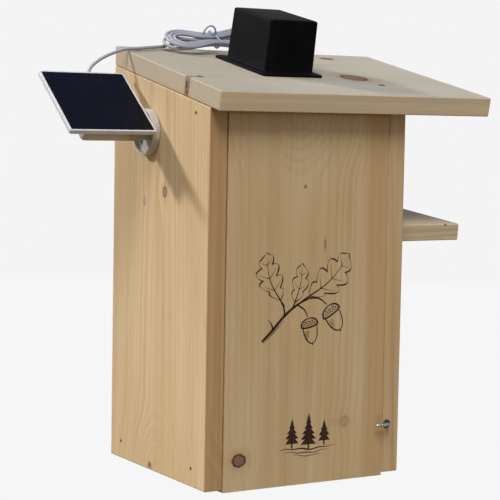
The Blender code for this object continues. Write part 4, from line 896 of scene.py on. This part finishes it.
def makeHook(h):
    # Wire from inside the board, out, round a quarter circle, and along the arm, whose end is rounded.
    a = np.linspace(0.0, pi / 2, 12)
    bend = np.column_stack([h["bend"] * (np.cos(a) - 1), h["bend"] * (1 - np.sin(a)) - h["reach"], 0 * a])
    path = np.vstack([[(0.0, h["depth"], 0.0)], bend, [(h["tip"] - h["arm"], -h["reach"], 0.0),
                                                       (-h["arm"], -h["reach"], 0.0)]])
    width = np.full(len(path), h["wire"])
    width[-1] = h["wire"] * h["tipShare"]
    tube, faces = sweep(path, width, h["wireSides"])[0]
    axes = moved(np.eye(4), (h["x"], house["front"], h["z"]), 0.0, "X")
    profile = softProfile([(0.0, h["collarHeight"]), (h["collar"], h["collarHeight"]), (h["collar"], h["seam"]),
                           (0.0, h["seam"])], h["fillet"], 5)
    makePiece("hook_wire", (placed(tube, axes), faces), "zinc", "latch", ("door_hook",), sharp=50.0)
    outward = moved(axes, (0.0, 0.0, 0.0), pi / 2, "X")
    makePiece("hook_collar", lathe(profile, h["collarSides"], outward), "collar", "latch", sharp=50.0)


def makeScrews(group, places, normal, finish, screw):
    # Flush heads, whose top falls with the square of the distance from its middle, on pointed shanks.
    s, t = screwHead, shares(screwHead["rings"])
    profile = [*zip(t * screw["radius"], -s["dome"] * t ** 2), (screw["radius"], 0.0), (screw["shank"], 0.0),
               (screw["shank"], -screw["length"] * s["point"]), (0.0, -screw["length"])]
    upright = Vector(normal).to_track_quat("Z", "Y").to_matrix().to_4x4()
    for number, place in enumerate(places, 1):
        axes = np.array(Matrix.Translation(place) @ upright @ Matrix.Rotation(s["turn"] * number, 4, "Z"))
        makePiece(f"{group}_head_{number}", lathe(profile, s["sides"], axes), finish, "house",
                  (f"{group}_{number}",), sharp=30.0)


def shelfScrewPlaces(s):
    # In the right wall's inner face, at the middle of the tilted shelf's thickness.
    y = s["front"] + s["length"] / 2 + np.array(s["screwShares"]) * s["length"]
    z = s["top"] + (y - s["front"]) * tan(s["tilt"]) - s["thick"] / 2 / cos(s["tilt"])
    return [(house["halfWidth"] - house["board"], *place) for place in zip(y, z)]


def cupScrewPlaces(s):
    # On a circle round the swivel, sunk into the cup's floor.
    angle = s["angle"] + np.arange(s["count"]) * 2 * pi / s["count"]
    x = -house["halfWidth"] - cup["floor"] - cup["seam"] - s["sunk"]
    return [(x, swivel["y"] + s["circle"] * cos(a), swivel["z"] + s["circle"] * sin(a)) for a in angle]


makeHook(hook)
roofPlaces = placed([(*place, 0.0) for place in roofScrews], roofAxes)
makeScrews("roof_screw", roofPlaces, roofAxes[:3, 2], "screw", boardScrew)
makeScrews("shelf_screw", shelfScrewPlaces(shelf), (-1.0, 0.0, 0.0), "screw", boardScrew)
makeScrews("cup_screw", cupScrewPlaces(cupScrew), (-1.0, 0.0, 0.0), "brightScrew", cupScrew)
for name in nodes:
    if "_nail_" in name:
        dress(name, finishes["nail"])
    elif name.startswith("door_pin"):
        dress(name, finishes["pin"])
dress("swivel_screw", finishes["brightScrew"])
print("hook, screws and nails made")


# Burnt drawings on the door, in millimetres across the door and up from the underside of the walls. A line is
# a route, its number of points and its brush; a leaf is base, tip, half width, lobes, bend and line width; an
# acorn is top, turn in degrees, size and line width; a pine is place, base, height, half width and tiers; a
# ground line is height, left, right and width.
burn = {"proud": 0.00008, "sunk": 0.00010, "cornerX": -0.111, "cornerZ": -0.250, "bold": 1.35}
oak = {"twigs": (([(60, 139), (72, 150), (85, 163), (99, 173), (113, 179)], 60, (2.9, 0.75, 0.5, 0.3)),
                 ([(61.5, 137.5), (73, 147.5), (85, 159)], 30, (0.9,)),
                 ([(85, 163), (84, 170), (81, 176)], 20, (2.0, 1.0, 0.5, 0.1)),
                 ([(99, 173), (107, 168), (111, 161)], 20, (1.6, 1.0, 0.6, 0.1)),
                 ([(113, 179), (124, 178), (133, 172)], 24, (1.6, 1.0, 0.6, 0.1)),
                 ([(72, 150), (70, 156), (66, 160)], 16, (1.7, 0.8, 0.1, 0.2))),
       "leaves": (((113, 181), (158, 221), 16.5, 4, 0.08, 1.15), ((80, 178), (64, 224), 14.0, 4, -0.10, 1.10),
                  ((96, 175), (104, 213), 9.5, 3, 0.06, 0.95)),
       "acorns": (((112, 160), -78, 27.0, 1.25), ((134, 171), -58, 30.0, 1.25))}
leafShape = {"hump": (0.82, 0.75), "lobe": (0.9, 0.12, 0.7), "lobeDepth": 0.50, "lean": 0.42, "swell": 0.38,
             "shift": 0.3, "veinFirst": 0.38, "veinPower": 1.11, "veinLast": 0.9, "veinReach": 0.80,
             "veinStart": -0.07, "veinLean": 0.62, "veinBend": 1.2, "veinWidth": 0.42, "rib": (-0.16, 0.93),
             "ribWidth": 0.95}
acornShape = {"half": 0.345, "rim": 0.30, "depth": 0.27, "sag": 0.055, "nut": 0.285, "nutEnd": 0.93,
              "nutPower": 2.4, "nutFlare": 0.012, "nutLength": 0.70, "tip": (0.95, 0.75), "scaleRow": 0.93,
              "scaleWidth": 0.85, "scaleArch": 0.045, "scales": ((0.235, 6), (0.165, 5), (0.100, 3)),
              "shines": ((0.20, 0.42, 0.80), (0.145, 0.46, 0.72), (0.09, 0.44, 0.60))}
pines = {"trees": ((96, 38, 25, 8.5, 5), (115, 36, 31, 10.0, 6), (133, 38.5, 21, 7.5, 4)), "taper": 0.62,
         "trunk": (4.5, 0.5, 1.7), "ground": ((32.2, 83, 146, 1.5), (28.8, 88, 139, 1.0), (25.8, 97, 131, 0.7))}


def stroke(path, width):
    # A band along a flat path, as wide at each point as its width says, with square sides.
    path, width = np.asarray(path, float), np.asarray(width, float) / 2
    step = unit(np.gradient(path, axis=0))
    out = np.column_stack([step[:, 1], -step[:, 0]]) * width[:, None]
    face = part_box("front_door")[0].y
    corners = [np.column_stack([flat[:, 0] / 1000 + burn["cornerX"], np.full(len(path), depth),
                                flat[:, 1] / 1000 + burn["cornerZ"]])
               for flat, depth in ((path - out, face - burn["proud"]), (path + out, face - burn["proud"]),
                                   (path + out, face + burn["sunk"]), (path - out, face + burn["sunk"]))]
    grid = np.stack(corners, 1)
    ends = [np.repeat(grid[k:k + 1].mean(1, keepdims=True), 4, 1) for k in (0, len(grid) - 1)]
    grid = np.concatenate([ends[0], grid, ends[1]])
    return grid.reshape(-1, 3), gridFaces(len(grid), 4)


def curve(points, count):
    # Catmull-Rom curve through a few points, with its end points kept.
    knots = np.asarray(points, float)
    knots = np.vstack([2 * knots[0] - knots[1], knots, 2 * knots[-1] - knots[-2]])
    t = np.linspace(0.0, len(points) - 1.000001, count)                # stays short of the last knot
    k = t.astype(int)
    return catmullRom(knots, k, (t - k)[:, None])


def inked(path, widest, start=0.15, end=0.05, swell=0.5):
    # A brush stroke: its width rises from its start, is widest at the swell, and thins to its end.
    t = shares(len(path))
    rise = np.where(t < swell, t / swell, (1 - t) / (1 - swell))
    return stroke(path, widest * (np.where(t < swell, start, end) * (1 - rise) + rise ** 0.8))


def oakLeaf(base, tip, half, lobes, bend, line):
    # Two wavy sides about a bent midrib: the half width is a hump along the leaf times the size of a sine that
    # makes the lobes, which lean forward; a vein runs to each lobe.
    base, tip = np.array(base, float), np.array(tip, float)
    length = np.linalg.norm(tip - base)
    ahead = (tip - base) / length
    out = np.array([ahead[1], -ahead[0]])

    def rib(t):
        return base + np.outer(t, tip - base) + np.outer(np.sin(pi * t) * bend * length, out)

    f, t, s = leafShape, shares(170), shares(16)
    hump = np.sin(pi * t ** f["hump"][0]) ** f["hump"][1]
    power, phase, soft = f["lobe"]
    lobe = np.abs(np.sin(pi * (lobes * t ** power + phase))) ** soft
    reach = half * hump * (1 - f["lobeDepth"] + f["lobeDepth"] * lobe)
    parts = []
    for side in (1, -1):
        edge = rib(t) + np.outer(reach * side, out) + np.outer(reach * f["lean"], ahead)
        weight = 1 - f["swell"] + f["swell"] * np.sin(2 * pi * (lobes * t + f["shift"] * side))
        parts.append(stroke(edge, line * weight * (0.5 + 0.5 * np.sin(pi * t) ** 0.4)))
        for at in ((np.arange(lobes) + f["veinFirst"]) / lobes) ** f["veinPower"]:
            if at <= f["veinLast"]:
                size = np.interp(at, t, half * hump) * f["veinReach"]
                path = (rib(np.full(len(s), at + f["veinStart"])) + np.outer(s * size * side, out)
                        + np.outer(s * size * f["veinLean"] + s ** 2 * f["veinBend"], ahead))
                parts.append(inked(path, line * f["veinWidth"], 0.9, 0.05, 0.1))
    parts.append(inked(rib(np.linspace(*f["rib"], 50)), line * f["ribWidth"], 0.9, 0.05, 0.15))
    return parts


def acorn(top, turn, size, line):
    # An egg with a drawn-out tip under a scaly cup; local y runs from the stalk to the tip.
    axis = np.array([cos(turn), sin(turn)])
    out = np.array([axis[1], -axis[0]])
    f, half, rim, depth = acornShape, acornShape["half"], acornShape["rim"], acornShape["depth"]

    def at(x, y):
        return np.array(top, float) + np.outer(x * size, out) + np.outer(y * size, axis)

    t, a, s = shares(60), np.linspace(0.0, pi, 50), np.linspace(-1.0, 1.0, 9)
    x = f["nut"] * np.sqrt(np.clip(1 - (t / f["nutEnd"]) ** f["nutPower"], 0, 1)) + f["nutFlare"] * (1 - t)
    parts = [stroke(at(x * side, rim + t * f["nutLength"]), line * weight * (0.55 + 0.45 * np.sin(pi * t)))
             for side, weight in ((1, 1.0), (-1, 0.72))]
    parts += [inked(at(0 * t[:8], f["tip"][0] + t[:8] * f["tip"][1]), line * 0.9, 0.8, 0.1, 0.2),
              stroke(at(half * np.cos(a), rim - depth * np.sin(a) ** 0.8), line * (0.6 + 0.5 * np.abs(np.cos(a)))),
              stroke(at(half * np.cos(a), rim + f["sag"] * np.sin(a)), line * (0.7 + 0.3 * np.sin(a)))]
    for height, count in f["scales"]:
        row = half * np.sqrt(max(0.0, 1 - ((rim - height) / depth) ** 2)) * f["scaleRow"]
        for number in range(count):
            middle = -row + (number + 0.5) * 2 * row / count
            path = at(middle + s * row / count * f["scaleWidth"], height + f["scaleArch"] * (1 - s ** 2))
            parts.append(inked(path, line * 0.5, 0.3, 0.3))
    s = shares(14)
    for shift, low, high in f["shines"]:
        parts.append(inked(at(shift * (1 - 0.35 * s ** 2), low + s * (high - low)), line * 0.45))
    return parts


def drawOak(o):
    # Two leaves and a bud of leaf, two acorns and short shoots on a bent twig.
    parts = [inked(curve(route, count), *brush) for route, count, brush in o["twigs"]]
    for *leaf, line in o["leaves"]:
        parts += oakLeaf(*leaf, line * burn["bold"])
    for top, turn, size, line in o["acorns"]:
        parts += acorn(top, radians(turn), size, line * burn["bold"])
    makePiece("door_oak_sprig", together(parts), "burnt", "door", sharp=30.0)


def drawPines(p):
    # Firs, each one upright band whose width is a saw of tiers that narrows to the top, over ground lines.
    parts, s = [], shares(8)
    below, above, thick = p["trunk"]
    for x, base, height, half, tiers in p["trees"]:
        t = shares(24 * tiers + 1)
        tier = np.minimum(np.floor(t * tiers), tiers - 1)
        inside = t * tiers - tier
        width = 2 * half * (1 - tier / tiers) * (1 - p["taper"] * inside) * (1 - 0.12 * np.sin(9 * t + x))
        width = width * np.where(tier == tiers - 1, 1 - inside, 1.0) + 0.1
        trunk = np.column_stack([np.full(len(s), x), base - below + s * (below + above)])
        parts += [stroke(np.column_stack([np.full(len(t), x), base + t * height]), width),
                  stroke(trunk, np.full(len(s), thick))]
    for row, (low, left, right, wide) in enumerate(p["ground"]):
        x = np.linspace(left, right, 80)
        z = low + 0.8 * np.sin((x - left) / 7.5 + row) + 0.5 * np.sin((x - left) / 3.1)
        parts.append(inked(np.column_stack([x, z]), wide, 0.2, 0.1, 0.45))
    makePiece("door_pine_row", together(parts), "burnt", "door", sharp=30.0)


drawOak(oak)
drawPines(pines)
print("burnt drawings made")


# Floor, backdrop and light: each lamp has its energy, width in degrees, direction and tint
studio = {"floor": -1.25, "reach": 12.0, "rings": 40, "sides": 80, "pole": 0.02, "backdrop": 0.905,
          "floorShade": 0.04, "floorGlow": 0.865,
          "below": (0.28, 0.24, 0.19), "horizon": (0.44, 0.40, 0.35), "zenith": (0.25, 0.33, 0.50),
          "lowSky": (-0.12, 0.10), "highSky": (0.10, 0.85),
          "lamps": (("key", 2.5, 6.0, (1.0, -0.85, -0.80), (1.0, 0.98, 0.96)),
                    ("front_lamp", 2.5, 30.0, (0.36, 0.55, -1.0), (1.0, 0.99, 0.97)))}


def makeStage(name, points, faces, glow, shade):
    # Seen by the camera alone, so that it lights nothing.
    finish, tree, sockets = newFinish(name + "_paint", 0.9, specular=0.0)
    feed(sockets["Base Color"], (shade,) * 3)
    feed(sockets["Emission Color"], (1.0,) * 3)
    feed(sockets["Emission Strength"], glow)
    mesh = bpy.data.meshes.new(name)
    mesh.from_pydata(points, [], faces)
    mesh.materials.append(finish)
    piece = linked(name, mesh)
    piece.visible_diffuse = piece.visible_glossy = piece.visible_shadow = False


def makeStudio(s):
    reach, down = s["reach"], s["floor"]
    makeStage("floor", [(-reach, -reach, down), (reach, -reach, down), (reach, reach, down), (-reach, reach, down)],
              [(0, 1, 2, 3)], s["floorGlow"], s["floorShade"])
    polar = np.linspace(s["pole"], pi - s["pole"], s["rings"])
    points, faces = lathe([(reach * sin(t), reach * cos(t)) for t in polar], s["sides"], np.eye(4))
    makeStage("backdrop", points.tolist(), faces.tolist(), s["backdrop"], 0.0)
    scene = bpy.context.scene
    scene.world = bpy.data.worlds.new("studio_air")
    scene.world.use_nodes = True
    tree = scene.world.node_tree
    up = split(addNode(tree, "TexCoord", output="Generated"))[2]
    shade = mixed(between(up, *s["lowSky"]), s["below"], s["horizon"])
    feed(tree.nodes["Background"].inputs["Color"], mixed(between(up, *s["highSky"]), shade, s["zenith"]))
    for name, energy, angle, way, tint in s["lamps"]:
        light = bpy.data.lights.new(name, "SUN")
        light.energy, light.angle, light.color = energy, radians(angle), tint
        lamp = linked(name, light)
        lamp.rotation_mode = "QUATERNION"
        lamp.rotation_quaternion = Vector(way).to_track_quat("-Z", "Y")
    scene.view_settings.view_transform = "Standard"
    scene.view_settings.look = "None"


makeStudio(studio)
print("studio made")
